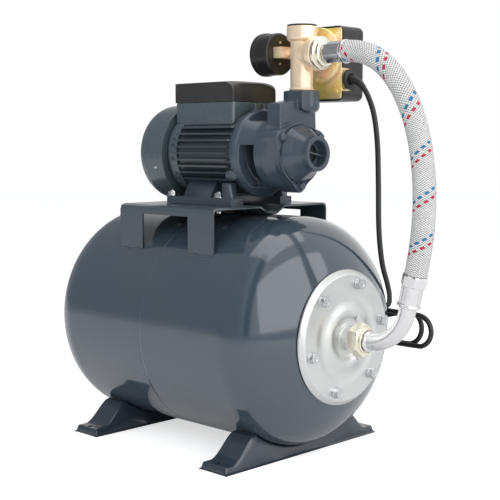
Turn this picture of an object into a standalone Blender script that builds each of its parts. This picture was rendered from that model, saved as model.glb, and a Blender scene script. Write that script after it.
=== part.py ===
# Booster pump set: a peripheral pump on a horizontal pressure tank, with its fittings,
# gauge, pressure switch, braided hose and power cord.
# Metres. X runs along the tank toward its flange, Y across it, Z up from the floor.

import bpy
import bmesh
from math import acos, asin, atan2, ceil, cos, pi, radians, sin, sqrt
from mathutils import Matrix, Vector

# Clearance between pieces that touch
clearance = 0.0003

# Facets round a full turn
large_round = 32
lobed_round = 36
medium_round = 24
small_round = 24
tiny_round = 12
hidden_round = 16

# Tank
tank_radius = 0.135
tank_wall = 0.002
tank_barrel_length = 0.264
tank_dome_depth = 0.080
tank_axis_height = 0.146
tank_mouth_radius = 0.052
tank_seat_radius = 0.0755
seam_width = 0.005
seam_depth = 0.0012
bladder_gap = 0.023
bladder_wall = 0.002
bladder_lip = 0.0014

# Flange on the tank's mouth
flange_radius = 0.07775
flange_sheet = 0.002
flange_rim_depth = 0.0034
flange_groove_radius = 0.0445
flange_groove_width = 0.005
flange_groove_depth = 0.0015
flange_crown_radius = 0.033
flange_crown_rise = 0.003
flange_recess_radius = 0.0225
nipple_radius = 0.0132
nipple_bore = 0.0095
nipple_length = 0.020
bolt_circle_radius = 0.0632
bolt_first_angle = radians(13)
bolt_count = 6
bolt_shank_radius = 0.004
bolt_hex_width = 0.0115
bolt_hex_height = 0.0055
bolt_washer_radius = 0.0078
bolt_washer_thickness = 0.0013
bolt_shank_length = 0.012

# Air valve at the rear end
valve_stem_radius = 0.004
valve_bore = 0.0024
valve_length = 0.022
valve_nut_width = 0.013
valve_nut_height = 0.004
valve_cap_radius = 0.0055
valve_cap_length = 0.012
valve_pin_radius = 0.0011
valve_pin_travel = 0.001

# Feet
foot_length = 0.265
foot_width = 0.0438
foot_crest_width = 0.034
foot_sheet = 0.0025
foot_front_inset = 0.0102
foot_rear_inset = 0.0211
foot_pad_length = 0.0155
foot_pad_height = 0.009
foot_crest_reach = 0.081
foot_lip = 0.0017
foot_lip_height = 0.0012
foot_hole_radius = 0.0035
foot_hole_inset = 0.0085

# Sheet stand under the pump
stand_rise = 0.011
stand_front = 0.0884
stand_rear = -0.077
stand_half_width = 0.099
stand_sheet = 0.0025
stand_bend_radius = 0.007
stand_leg_width = 0.042
stand_window_height = 0.281
channel_half_width = 0.0206
channel_floor_half_width = 0.0073

# Motor, placed from the shaft height above its foot
shaft_centre_height = 0.0617
frame_front = 0.066
frame_rear = -0.024
frame_radius = 0.0505
frame_bore = 0.0475
fin_radius = 0.0575
fin_thickness = 0.0022
fin_pitch = 0.0077
fin_count = 9
stator_bore = 0.0283
stator_front = 0.046
stator_rear = -0.008
winding_overhang = 0.009
rotor_radius = 0.0277
shaft_radius = 0.0085
shaft_rear_end = -0.079
shaft_front_end = 0.1245
shaft_end_radius = 0.006
bearing_radius = 0.0175
bearing_bore = 0.0075
bearing_width = 0.011
shield_radius = 0.0470
shield_rim_radius = 0.0525
shield_rim_rear = -0.0405
shield_wall = 0.006
fan_cover_radius = 0.0600
fan_cover_wall = 0.0015
fan_cover_front = -0.044
fan_cover_rear = -0.0915
fan_cover_corner = 0.011
fan_radius = 0.052
fan_hub_radius = 0.013
fan_blade_count = 6
fan_blade_thickness = 0.002
fan_front = -0.060
fan_rear = -0.078
fan_plate = 0.002
vent_count = 10
vent_width = 0.0034
vent_inner = 0.020
vent_outer = 0.046

# Motor foot
motor_foot_front = 0.071
motor_foot_rear = -0.0425
motor_foot_half_width = 0.0525
motor_foot_rail_width = 0.0200
motor_foot_plate = 0.0087
motor_web_front = 0.032
motor_web_rear = -0.016
motor_web_half_width = 0.049
motor_web_top_half_width = 0.038
motor_web_top = 0.0285
foot_rib_rear = 0.0535
foot_rib_front = 0.066
foot_rib_outer = 0.0500
foot_rib_inner = 0.0385
foot_rib_top = 0.0265
stand_bolt_front = 0.0458
stand_bolt_rear = -0.0375
stand_bolt_side = 0.0475
stand_bolt_radius = 0.003
stand_bolt_hex = 0.010
stand_bolt_head = 0.0045
stand_bolt_washer = 0.0068
stand_bolt_washer_thickness = 0.0012
stand_bolt_nut = 0.0045
stand_bolt_stub = 0.0013
stand_bolt_tail = 0.006

# Terminal box
box_front = 0.059
box_rear = -0.0425
box_half_width = 0.038
box_bottom = 0.034
box_top = 0.061
box_wall = 0.0025
box_corner = 0.005
lid_side_height = 0.0235
lid_crown_height = 0.025
lid_nose_side_height = 0.0125
lid_nose_crown_height = 0.0193
lid_nose_length = 0.017
lid_wall = 0.0022
capacitor_radius = 0.0115
capacitor_length = 0.058

# Pump casting
rim_radius = 0.0525
rim_rear = 0.0663
rim_front = 0.0745
neck_radius = 0.0495
neck_blend = 0.006
bearing_plate = 0.0783
lantern_radius = 0.034
lantern_end = 0.098
casing_radius = 0.0425
casing_front = 0.128
chamber_radius = 0.0305
chamber_back = 0.112
seal_pocket_radius = 0.011
seal_pocket_depth = 0.008
window_rear = 0.0793
window_top = 0.010
window_bottom = 0.039
top_pocket_half_width = 0.030
top_pocket_rear = 0.0770
top_pocket_front = 0.1015
top_pocket_floor = 0.0375
ear_rear = 0.0675
ear_front = 0.0735
ear_places = (-0.0125, 0.0010)
ear_width = 0.0030
ear_top = 0.0590
tie_lug_radius = 0.0060
tie_lug_side = 0.0520
tie_lug_drop = 0.0254
tie_nut_width = 0.0085
tie_nut_height = 0.0035
lobe_core_radius = 0.0345
lobe_radius = 0.0078
lobe_place = 0.0380
lobe_first_angle = radians(30)
column_rear = 0.1035
column_front = 0.1245
column_left = -0.026
column_right = 0.0355
column_low_top = 0.0575
column_high_top = 0.0625
column_slope_end = 0.004
column_root = 0.020
column_right_root = 0.012
port_radius = 0.0215
port_top = 0.0735
port_underside = 0.051
port_bore = 0.0136
passage_radius = 0.0070
passage_side = 0.022

# Impeller and seal
impeller_radius = 0.0300
impeller_rear = 0.1155
impeller_front = 0.1245
impeller_vanes = 16
vane_depth = 0.0055
seal_radius = 0.0098

# Suction cover
cover_front = 0.1335
cone_base_radius = 0.0300
groove_radius = 0.0325
groove_depth = 0.0010
boss_back = 0.150
boss_face = 0.161
boss_radius = 0.022
boss_edge = 0.0014
suction_bore = 0.0147
suction_chamfer = 0.0010
valve_seat_front = 0.149
valve_seat_back = 0.146
valve_seat_bore = 0.0105
inlet_radius = 0.0155
inlet_cone_radius = 0.026
crossbar_height = 0.0020
crossbar_turn = radians(-12)
crossbar_rear = 0.1515
crossbar_front = 0.1545
cover_bolt_hex = 0.0085
cover_bolt_height = 0.0045
flap_radius = 0.0125
flap_thickness = 0.0022
flap_pivot = 0.0130
flap_knuckle_radius = 0.0012
flap_knuckle_width = 0.008
flap_opening = radians(35)

# Riser with the five-way fitting
riser_side = 0.025
riser_place = 0.112
riser_radius = 0.0135
riser_bore = 0.010
riser_lip = 0.0015
riser_collar_radius = 0.018
riser_collar_length = 0.0165
riser_length = 0.0755
riser_thread_depth = 0.014
branch_rise = 0.0425
branch_radius = 0.0200
branch_neck_radius = 0.0145
branch_length = 0.028
branch_bore = 0.0095
switch_branch_radius = 0.009
switch_branch_length = 0.020
switch_branch_bore = 0.0035
cap_thickness = 0.0015
cap_plug_depth = 0.010

# Gauge
gauge_rise = 0.0025
gauge_radius = 0.026
gauge_drum_radius = 0.0252
gauge_depth = 0.034
gauge_bezel_depth = 0.0085
gauge_wall = 0.002
gauge_lens_thickness = 0.0016
gauge_lens_inset = 0.0014
gauge_dial_depth = 0.0075
gauge_dial_thickness = 0.001
gauge_stem_width = 0.013
gauge_stem_length = 0.006
gauge_neck_radius = 0.0058
gauge_neck_length = 0.0080
needle_length = 0.0185
needle_tail = 0.007
needle_width = 0.0014
needle_thickness = 0.0007
needle_hub_radius = 0.0026
needle_spindle_radius = 0.0008
needle_rest_angle = radians(135)

# Pressure switch
housing_radius = 0.0335
housing_front = 0.025
housing_thickness = 0.0092
housing_neck_radius = 0.011
housing_hub_radius = 0.016
switch_front = 0.0347
switch_left = -0.0325
switch_right = 0.0318
switch_bottom = -0.0515
switch_top = 0.0325
switch_depth = 0.020
switch_wall = 0.0018
switch_corner = 0.005
switch_cover_wall = 0.0020
switch_cover_back = 0.075
switch_cover_corner = 0.008
gland_height = -0.0285
gland_side = 0.046
gland_radius = 0.012
gland_thickness = 0.0065
gland_neck_radius = 0.0085
gland_neck_length = 0.0045
gland_notch_margin = 0.0018

# Hose and its fittings
union_radius = 0.0198
union_length = 0.0055
union_ring_radius = 0.0172
union_ring_length = 0.0055
ferrule_radius = 0.0121
ferrule_length = 0.0255
ferrule_flats = 12
ferrule_end_radius = 0.0138
ferrule_end_length = 0.0045
ferrule_bore = 0.0085
hose_radius = 0.01315
hose_top_pull = 0.0807
hose_low_pull = 0.1274
hose_low_side_pull = 0.0136
lower_ring_radius = 0.0130
lower_ring_length = 0.004
lower_sleeve_radius = 0.0117
lower_sleeve_length = 0.0205
lower_collar_width = 0.0262
lower_collar_length = 0.0125
elbow_radius = 0.0095
elbow_bore = 0.0075
elbow_bend_radius = 0.050
elbow_bend_angle = radians(76)
elbow_first_run = 0.0048
elbow_last_run = 0.0063
tank_nut_width = 0.036
tank_nut_length = 0.0151
tank_nut_rim_radius = 0.0150
tank_nut_rim_length = 0.0045
tank_nut_start = 0.0140

# Power cord
cord_radius = 0.0032
cord_route = (
    (0.1660, 0.0712, 0.4395),
    (0.1790, 0.0718, 0.4280),
    (0.1890, 0.0724, 0.4050),
    (0.1945, 0.0728, 0.3700),
    (0.1968, 0.0730, 0.3200),
    (0.1972, 0.0745, 0.2650),
    (0.1965, 0.0830, 0.2250),
    (0.1900, 0.1030, 0.1960),
    (0.1700, 0.1270, 0.1800),
    (0.1545, 0.1450, 0.1700),
)
cord_hank_meeting = 0.149
hank_front = 0.221
hank_rear = 0.048
hank_bottom = 0.113
hank_top = 0.158
hank_near = 0.1425
hank_far = 0.1625
plug_length = 0.036
plug_radius = 0.0125
plug_neck_radius = 0.0045
plug_neck_length = 0.014

# Levels and places worked out from the sizes above
stand_top = tank_axis_height + tank_radius + stand_rise
channel_depth = stand_rise - stand_sheet - clearance
shaft_height = stand_top + clearance + shaft_centre_height
port_level = shaft_height + port_top
branch_level = port_level + branch_rise
gauge_level = branch_level + gauge_rise
barrel_half = tank_barrel_length / 2
bladder_radius = tank_radius - bladder_gap
foot_front_place = barrel_half - foot_front_inset
foot_rear_place = foot_rear_inset - barrel_half


def dome_reach(radius, inset=0.0):
    """How far past the barrel the dome goes at this radius."""
    share = radius / (tank_radius - inset)
    return (tank_dome_depth - inset) * sqrt(max(0.0, 1 - share * share))


def dome_radius(reach, inset=0.0):
    """The dome's radius this far past the barrel."""
    share = reach / (tank_dome_depth - inset)
    return (tank_radius - inset) * sqrt(max(0.0, 1 - share * share))


seat_plane = barrel_half + dome_reach(tank_seat_radius)
flange_back = seat_plane + clearance + bladder_lip + clearance
flange_face = flange_back + flange_sheet
tail_tip = barrel_half + tank_dome_depth + valve_length + 0.002

# Finishes: colour, roughness, metallic
navy_enamel = ((0.075, 0.095, 0.125), 0.18, 0.0)
grey_enamel = ((0.085, 0.105, 0.130), 0.35, 0.0)
dark_plastic = ((0.022, 0.021, 0.022), 0.40, 0.0)
black_rubber = ((0.018, 0.018, 0.019), 0.65, 0.0)
galvanised = ((0.72, 0.74, 0.73), 0.32, 1.0)
zinc = ((0.70, 0.71, 0.72), 0.28, 1.0)
chrome = ((0.82, 0.82, 0.83), 0.12, 1.0)
brass = ((0.80, 0.60, 0.40), 0.28, 1.0)
pale_brass = ((0.78, 0.72, 0.60), 0.25, 1.0)
yellow_zinc = ((0.62, 0.50, 0.18), 0.30, 1.0)
steel = ((0.55, 0.55, 0.56), 0.35, 1.0)
copper = ((0.55, 0.26, 0.14), 0.45, 1.0)
white_braid = ((0.80, 0.80, 0.78), 0.55, 0.0)
white_dial = ((0.85, 0.85, 0.83), 0.50, 0.0)
clear_glass = ((0.90, 0.93, 0.94), 0.05, 0.0)
butyl = ((0.05, 0.05, 0.05), 0.70, 0.0)

AXES = {
    "X": Matrix(((0, 0, 1), (1, 0, 0), (0, 1, 0))),
    "-X": Matrix(((0, 0, -1), (-1, 0, 0), (0, 1, 0))),
    "Y": Matrix(((1, 0, 0), (0, 0, 1), (0, -1, 0))),
    "Z": Matrix.Identity(3),
}


def guide(name, place, axis="Z", parent=None):
    """An empty whose local Z runs along the named axis."""
    empty = bpy.data.objects.new(name, None)
    bpy.context.scene.collection.objects.link(empty)
    empty.location = place
    empty.rotation_euler = AXES[axis].to_euler()
    empty.empty_display_size = 0.02
    empty.parent = parent
    return empty


def finish_material(name, finish):
    colour, roughness, metallic = finish
    material = bpy.data.materials.new(name)
    material.use_nodes = True
    surface = material.node_tree.nodes["Principled BSDF"]
    surface.inputs["Base Color"].default_value = (*colour, 1)
    surface.inputs["Roughness"].default_value = roughness
    surface.inputs["Metallic"].default_value = metallic
    return material


def place_mesh(name, bm, finish, parent, place=(0, 0, 0), turn=(0, 0, 0), sharp=30):
    """Turn a closed bmesh into an object. Without a finish it is a hidden tool shape."""
    bmesh.ops.recalc_face_normals(bm, faces=bm.faces)
    mesh = bpy.data.meshes.new(name)
    bm.to_mesh(mesh)
    bm.free()
    mesh.shade_smooth()
    mesh.set_sharp_from_angle(angle=radians(sharp))
    piece = bpy.data.objects.new(name, mesh)
    bpy.context.scene.collection.objects.link(piece)
    piece.parent = parent
    piece.location = place
    piece.rotation_euler = turn
    if finish:
        mesh.materials.append(finish_material(name, finish))
    else:
        piece.hide_render = True
        piece.display_type = "WIRE"
    return piece


def bridge(bm, low, high):
    """Faces between two rings, either of which may be a single point."""
    count = max(len(low), len(high))
    for k in range(count):
        n = (k + 1) % count
        corners = [low[k % len(low)], low[n % len(low)], high[n % len(high)], high[k % len(high)]]
        if len(low) == 1:
            corners.pop(1)
        elif len(high) == 1:
            corners.pop(2)
        bm.faces.new(corners)


def turned_mesh(profile, angles=small_round):
    """A turned body. The profile lists (radius, height); a radius may depend on the angle."""
    if isinstance(angles, int):
        angles = [2 * pi * k / angles for k in range(angles)]
    bm = bmesh.new()
    rings = []
    for radius, height in profile:
        if not callable(radius) and radius == 0:
            rings.append([bm.verts.new((0, 0, height))])
            continue
        ring = []
        for angle in angles:
            reach = radius(angle) if callable(radius) else radius
            ring.append(bm.verts.new((reach * cos(angle), reach * sin(angle), height)))
        rings.append(ring)
    for low, high in zip(rings, rings[1:]):
        bridge(bm, low, high)
    if len(rings[0]) > 1:
        bridge(bm, rings[-1], rings[0])
    return bm


def turned(name, profile, finish, parent, angles=small_round, place=(0, 0, 0), turn=(0, 0, 0)):
    return place_mesh(name, turned_mesh(profile, angles), finish, parent, place, turn)


def cylinder(name, radius, low, high, parent, angles=small_round):
    """A tool shape: a plain cylinder along local Z."""
    return turned(name, [(0, low), (radius, low), (radius, high), (0, high)], None, parent, angles)


def cylinders(name, radius, low, high, parent, places, angles=tiny_round):
    """One tool shape made of equal cylinders along local Z."""
    bm = bmesh.new()
    for x, y in places:
        for level in (low, high):
            ring = []
            for k in range(angles):
                angle = 2 * pi * k / angles
                ring.append(bm.verts.new((x + radius * cos(angle), y + radius * sin(angle), level)))
            if level == low:
                first = ring
        bridge(bm, first, ring)
        bm.faces.new(first)
        bm.faces.new(ring)
    return place_mesh(name, bm, None, parent)


def prism(name, outline, low, high, finish, parent, place=(0, 0, 0), turn=(0, 0, 0)):
    """A flat outline in local XY, extruded along local Z."""
    bm = bmesh.new()
    base = [bm.verts.new((x, y, low)) for x, y in outline]
    top = [bm.verts.new((x, y, high)) for x, y in outline]
    bm.faces.new(base)
    bm.faces.new(top)
    bridge(bm, base, top)
    return place_mesh(name, bm, finish, parent, place, turn)


def boxes(name, ranges, finish, parent):
    """One object made of boxes, each given by its ranges along X, Y and Z."""
    bm = bmesh.new()
    for (x0, x1), (y0, y1), (z0, z1) in ranges:
        base = [bm.verts.new((x, y, z0)) for x, y in ((x0, y0), (x1, y0), (x1, y1), (x0, y1))]
        top = [bm.verts.new((x, y, z1)) for x, y in ((x0, y0), (x1, y0), (x1, y1), (x0, y1))]
        bm.faces.new(base)
        bm.faces.new(top)
        bridge(bm, base, top)
    return place_mesh(name, bm, finish, parent)


def rounded_outline(left, right, low, high, corner, steps=4):
    """A rectangle's outline with round corners."""
    points = []
    centres = ((right - corner, low + corner, -90), (right - corner, high - corner, 0),
               (left + corner, high - corner, 90), (left + corner, low + corner, 180))
    for x, y, start in centres:
        for k in range(steps + 1):
            angle = radians(start + 90 * k / steps)
            points.append((x + corner * cos(angle), y + corner * sin(angle)))
    return points


def combine(piece, tool, operation, solver):
    step = piece.modifiers.new(operation.lower() + "_" + tool.name, "BOOLEAN")
    step.operation = operation
    step.solver = solver
    step.object = tool


def cut(piece, *tools, solver="EXACT"):
    for tool in tools:
        combine(piece, tool, "DIFFERENCE", solver)


def fuse(piece, *tools, solver="EXACT"):
    for tool in tools:
        combine(piece, tool, "UNION", solver)


def polygon(width, sides=6, limit=1.0):
    """The radius of a regular polygon with this width across its flats, cut to a limit."""
    half = pi / sides

    def radius(angle):
        off = (angle + half) % (2 * half) - half
        return min(width / 2 / cos(off), limit)
    return radius


def hull_radius(angle, core, lobe, place):
    """The radius of a round body stretched over one lobe that lies at angle zero."""
    off = abs((angle + pi) % (2 * pi) - pi)
    tangent = acos((core - lobe) / place)
    if off >= tangent:
        return core
    start = atan2(lobe * sin(tangent), place + lobe * cos(tangent))
    if off >= start:
        return core / cos(off - tangent)
    return place * cos(off) + sqrt(max(0.0, lobe ** 2 - (place * sin(off)) ** 2))


def three_lobes(shrink=0.0):
    """The outline that the casting and its cover share around their three bolts."""
    def radius(angle):
        return max(
            hull_radius(angle - lobe_first_angle - k * 2 * pi / 3,
                        lobe_core_radius - shrink, lobe_radius - shrink, lobe_place)
            for k in range(3)
        )
    return radius


def blend(first, second, share):
    """A radius part of the way between two outlines."""
    def radius(angle):
        a = first(angle) if callable(first) else first
        b = second(angle) if callable(second) else second
        return a + (b - a) * share
    return radius


def larger(first, second):
    def radius(angle):
        a = first(angle) if callable(first) else first
        b = second(angle) if callable(second) else second
        return max(a, b)
    return radius


def tube_along(name, path, outer, inner, finish, parent, sides=hidden_round):
    """A hollow tube along a path of points, with open square ends."""
    bm = bmesh.new()
    side = None
    shells = {outer: [], inner: []}
    for k, point in enumerate(path):
        ahead = path[min(k + 1, len(path) - 1)] - path[max(k - 1, 0)]
        ahead.normalize()
        if side is None:
            side = Vector((0, 1, 0))
        side = (side - ahead * side.dot(ahead)).normalized()
        up = ahead.cross(side)
        for reach, rings in shells.items():
            ring = []
            for n in range(sides):
                angle = 2 * pi * n / sides
                offset = side * cos(angle) + up * sin(angle)
                ring.append(bm.verts.new(point + offset * reach))
            rings.append(ring)
    for rings in shells.values():
        for low, high in zip(rings, rings[1:]):
            bridge(bm, low, high)
    bridge(bm, shells[outer][0], shells[inner][0])
    bridge(bm, shells[outer][-1], shells[inner][-1])
    return place_mesh(name, bm, finish, parent)


def cord_tube(name, path, radius, finish, parent, resolution=3):
    """A plain solid cord: a round bevel on a poly spline with filled ends."""
    data = bpy.data.curves.new(name, "CURVE")
    data.dimensions = "3D"
    data.bevel_depth = radius
    data.bevel_resolution = resolution
    data.use_fill_caps = True
    spline = data.splines.new("POLY")
    spline.points.add(len(path) - 1)
    for point, target in zip(path, spline.points):
        target.co = (*point, 1)
    data.materials.append(finish_material(name, finish))
    piece = bpy.data.objects.new(name, data)
    bpy.context.scene.collection.objects.link(piece)
    piece.parent = parent
    return piece


def bezier(start, start_handle, end_handle, end, count):
    points = []
    for k in range(count + 1):
        t = k / count
        points.append(start * (1 - t) ** 3 + start_handle * 3 * t * (1 - t) ** 2
                      + end_handle * 3 * t * t * (1 - t) + end * t ** 3)
    return points


def smooth_route(points, spacing):
    """Even points along a smooth curve through the route's own points."""
    knots = [Vector(p) for p in points]
    knots = [knots[0] * 2 - knots[1]] + knots + [knots[-1] * 2 - knots[-2]]
    fine = []
    for a, b, c, d in zip(knots, knots[1:], knots[2:], knots[3:]):
        for k in range(24):
            t = k / 24
            fine.append(0.5 * (2 * b + (c - a) * t + (2 * a - 5 * b + 4 * c - d) * t * t
                               + (3 * b - a - 3 * c + d) * t ** 3))
    fine.append(knots[-2])
    total = sum((b - a).length for a, b in zip(fine, fine[1:]))
    count = ceil(total / spacing)
    step = total / count
    even = [fine[0]]
    walked = 0.0
    for a, b in zip(fine, fine[1:]):
        length = (b - a).length
        while len(even) < count and walked + length >= step * len(even):
            share = (step * len(even) - walked) / length
            even.append(a.lerp(b, share))
        walked += length
    even.append(fine[-1])
    return even


# Tank


def build_tank(parent):
    line = guide("tank_line", (0, 0, tank_axis_height), "X", parent)
    bolt_places = []
    for k in range(bolt_count):
        angle = bolt_first_angle + k * 2 * pi / bolt_count
        bolt_places.append((bolt_circle_radius * cos(angle), bolt_circle_radius * sin(angle)))
    holes = cylinders("bolt_holes", bolt_shank_radius + clearance, seat_plane - 0.02,
                      flange_face + 0.01, line, bolt_places)
    build_shell(line, holes)
    build_bladder(line, holes)
    build_flange(line, holes)
    for k, (x, y) in enumerate(bolt_places):
        build_flange_bolt(f"flange_bolt_{k + 1}", line, (x, y, flange_face + clearance))
    build_air_valve(line)


def build_shell(line, holes):
    hole = valve_stem_radius + clearance
    steps = 6
    outer = []
    start = asin(hole / tank_radius)
    for k in range(steps):
        angle = start + (pi / 2 - start) * k / steps
        outer.append((tank_radius * sin(angle), -barrel_half - tank_dome_depth * cos(angle)))
    outer.append((tank_radius, -barrel_half))
    outer.append((tank_radius, -seam_width / 2))
    outer.append((tank_radius - seam_depth, 0))
    outer.append((tank_radius, seam_width / 2))
    outer.append((tank_radius, barrel_half))
    end = asin(tank_seat_radius / tank_radius)
    for k in range(1, steps):
        angle = pi / 2 + (end - pi / 2) * k / (steps - 1)
        outer.append((tank_radius * sin(angle), barrel_half + tank_dome_depth * cos(angle)))
    inner_plane = seat_plane - tank_wall
    inner = [(tank_mouth_radius, seat_plane), (tank_mouth_radius, inner_plane)]
    inside = tank_radius - tank_wall
    low = asin(dome_radius(inner_plane - barrel_half, tank_wall) / inside)
    inner_steps = 2
    for k in range(inner_steps + 1):
        angle = low + (pi / 2 - low) * k / inner_steps
        inner.append((inside * sin(angle), barrel_half + (tank_dome_depth - tank_wall) * cos(angle)))
    inner_start = asin(hole / inside)
    for k in range(inner_steps + 1):
        angle = pi / 2 + (inner_start - pi / 2) * k / inner_steps
        inner.append((inside * sin(angle), -barrel_half - (tank_dome_depth - tank_wall) * cos(angle)))
    shell = turned("tank_shell", outer + inner, navy_enamel, line, large_round)
    cut(shell, holes)


def build_bladder(line, holes):
    lip_back = seat_plane + clearance
    lip_front = lip_back + bladder_lip
    neck = tank_mouth_radius - clearance
    neck_in = neck - bladder_wall
    lip_radius = tank_seat_radius - 0.001
    bag_front = seat_plane - 0.030
    bag_rear = -barrel_half - 0.035
    bag = [(neck, bag_front + 0.012), (bladder_radius, bag_front - 0.045),
           (bladder_radius, bag_rear + 0.050), (bladder_radius * 0.6, bag_rear + 0.006)]
    outside = [(lip_radius, lip_front), (lip_radius, lip_back), (neck, lip_back)] + bag
    outside.append((0, bag_rear - 0.002))
    inside = [(0, bag_rear)]
    for radius, height in reversed(bag):
        shift = -bladder_wall if height > 0 else bladder_wall
        inside.append((radius - bladder_wall, height + shift * 0.7))
    inside.append((neck_in, lip_front))
    bladder = turned("tank_bladder", inside + outside, butyl, line, hidden_round)
    cut(bladder, holes)


def build_flange(line, holes):
    groove_in = flange_groove_radius - flange_groove_width / 2
    groove_out = flange_groove_radius + flange_groove_width / 2
    floor = flange_face - flange_groove_depth
    crown = flange_face + flange_crown_rise
    recess = flange_face - 0.001
    nipple_end = recess + nipple_length
    front = [
        (nipple_bore, nipple_end), (nipple_radius, nipple_end), (nipple_radius, recess),
        (flange_recess_radius, recess), (flange_recess_radius + 0.0015, crown - 0.0015),
        (flange_crown_radius - 0.005, crown), (flange_crown_radius + 0.003, crown - 0.0004),
        (groove_in, floor), (groove_out, floor), (groove_out + 0.0018, flange_face),
        (flange_radius - 0.004, flange_face), (flange_radius - 0.001, flange_face - 0.0010),
        (flange_radius, flange_face - flange_rim_depth),
    ]
    back = [
        (flange_radius - 0.0018, flange_face - flange_rim_depth), (flange_radius - 0.0022, flange_back),
        (groove_out + 0.0018, flange_back), (groove_out, floor - flange_sheet),
        (groove_in, floor - flange_sheet), (flange_crown_radius, crown - flange_sheet),
        (flange_recess_radius, recess - flange_sheet), (nipple_bore, recess - flange_sheet),
    ]
    flange = turned("tank_flange", front + back, galvanised, line, large_round)
    cut(flange, holes)


def build_flange_bolt(name, line, place):
    head = polygon(bolt_hex_width)
    top = bolt_washer_thickness + bolt_hex_height
    cap = polygon(bolt_hex_width, limit=bolt_hex_width * 0.51)
    profile = [(0, -bolt_shank_length), (bolt_shank_radius, -bolt_shank_length), (bolt_shank_radius, 0),
               (bolt_washer_radius, 0), (bolt_washer_radius - 0.0004, bolt_washer_thickness),
               (head, bolt_washer_thickness), (head, top - 0.0008), (cap, top), (0, top)]
    turned(name, profile, zinc, line, tiny_round, place)


def build_air_valve(line):
    start = -barrel_half - tank_dome_depth
    hole_edge = -barrel_half - dome_reach(valve_nut_width / 2)
    nut_in = min(start, hole_edge) - clearance
    nut_out = nut_in - valve_nut_height
    tip = start - valve_length
    hexagon = polygon(valve_nut_width)
    profile = [(valve_bore, start + 0.010), (valve_stem_radius, start + 0.010), (valve_stem_radius, nut_in),
               (hexagon, nut_in), (hexagon, nut_out), (valve_stem_radius, nut_out),
               (valve_stem_radius, tip), (valve_bore, tip)]
    turned("air_valve", profile, brass, line, tiny_round)
    pin_line = guide("air_valve_pin_line", (0, 0, tip + 0.0015), "Z", line)
    slim = valve_pin_radius
    wide = valve_bore - clearance
    pin = [(0, 0), (slim, 0), (slim, 0.006), (wide, 0.007), (wide, 0.010), (slim, 0.011), (slim, 0.019), (0, 0.019)]
    turned("air_valve_pin", pin, zinc, pin_line, 8)
    inside = valve_stem_radius + clearance
    cap_rear = tip - 0.002
    cap = [(0, cap_rear), (valve_cap_radius - 0.001, cap_rear), (valve_cap_radius, cap_rear + 0.001),
           (valve_cap_radius, cap_rear + valve_cap_length), (inside, cap_rear + valve_cap_length),
           (inside, tip - clearance), (0, tip - clearance)]
    turned("air_valve_cap", cap, black_rubber, line, tiny_round)


# Feet


def foot_top(y):
    """Height of the foot's top along its length: pads, ramps and the saddle under the tank."""
    seat = tank_radius + clearance
    away = abs(y)
    pad_end = foot_length / 2 - foot_pad_length
    crest = tank_axis_height - sqrt(seat ** 2 - foot_crest_reach ** 2)
    if away <= foot_crest_reach:
        return tank_axis_height - sqrt(seat ** 2 - away ** 2)
    if away >= pad_end:
        return foot_pad_height
    share = (pad_end - away) / (pad_end - foot_crest_reach)
    bump = sin(pi / 2 * share) ** 2
    rounding = 0.0015 * max(0.0, share - 0.85) / 0.15
    return foot_pad_height + (crest - foot_pad_height) * (0.35 * share + 0.65 * bump) - rounding


def foot_half_width(y):
    """Half width of the top face along the foot."""
    away = abs(y)
    pad_end = foot_length / 2 - foot_pad_length
    wide = foot_width / 2 - foot_lip - 0.0010
    share = min(1.0, max(0.0, (pad_end - away) / (pad_end - foot_crest_reach)))
    narrow = foot_crest_width / 2
    return wide + (narrow - wide) * share


def foot_grid(bm, inset):
    """Rows of points over the foot, outside face or inside face."""
    half = foot_length / 2
    crest = foot_crest_reach
    stations = [-half + foot_lip + 0.0012, -half + foot_pad_length]
    ramp = [crest + (half - foot_pad_length - crest) * k / 4 for k in range(4)]
    stations += [-y for y in reversed(ramp)]
    stations += [crest * k / 6 for k in range(-5, 6)]
    stations += ramp
    stations += [half - foot_pad_length, half - foot_lip - 0.0012]
    edge = foot_width / 2
    rows = []

    def row(y, heights, widths):
        rows.append([bm.verts.new((x, y, z)) for x, z in zip(widths, heights)])

    if inset == 0:
        lip = foot_lip_height
        flat = [-edge, -edge + foot_lip, -edge + foot_lip + 0.002, edge - foot_lip - 0.002, edge - foot_lip, edge]
        row(-half, [lip] * 6, flat)
        row(-half + foot_lip, [lip, lip + 0.0006, lip + 0.0006, lip + 0.0006, lip + 0.0006, lip], flat)
        for y in stations:
            top = foot_top(y)
            wide = foot_half_width(y)
            row(y, [lip, lip + 0.0006, top, top, lip + 0.0006, lip],
                [-edge, -edge + foot_lip, -wide, wide, edge - foot_lip, edge])
        row(half - foot_lip, [lip, lip + 0.0006, lip + 0.0006, lip + 0.0006, lip + 0.0006, lip], flat)
        row(half, [lip] * 6, flat)
        return rows
    inner_edge = edge - foot_lip - foot_sheet
    span = half - foot_lip - foot_sheet
    flat = [-inner_edge, -inner_edge + 0.0015, inner_edge - 0.0015, inner_edge]
    row(-span, [0.0] * 4, flat)
    for y in stations:
        y = max(-span + 0.001, min(span - 0.001, y))
        top = foot_top(y) - foot_sheet
        wide = min(foot_half_width(y) - 0.0012, inner_edge - 0.0012)
        row(y, [0.0, top, top, 0.0], [-inner_edge, -wide, wide, inner_edge])
    row(span, [0.0] * 4, flat)
    return rows


def border(rows):
    """The outermost points of a grid, in order."""
    ring = list(rows[0])
    ring += [row[-1] for row in rows[1:]]
    ring += list(reversed(rows[-1][:-1]))
    ring += [row[0] for row in reversed(rows[1:-1])]
    return ring


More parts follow.
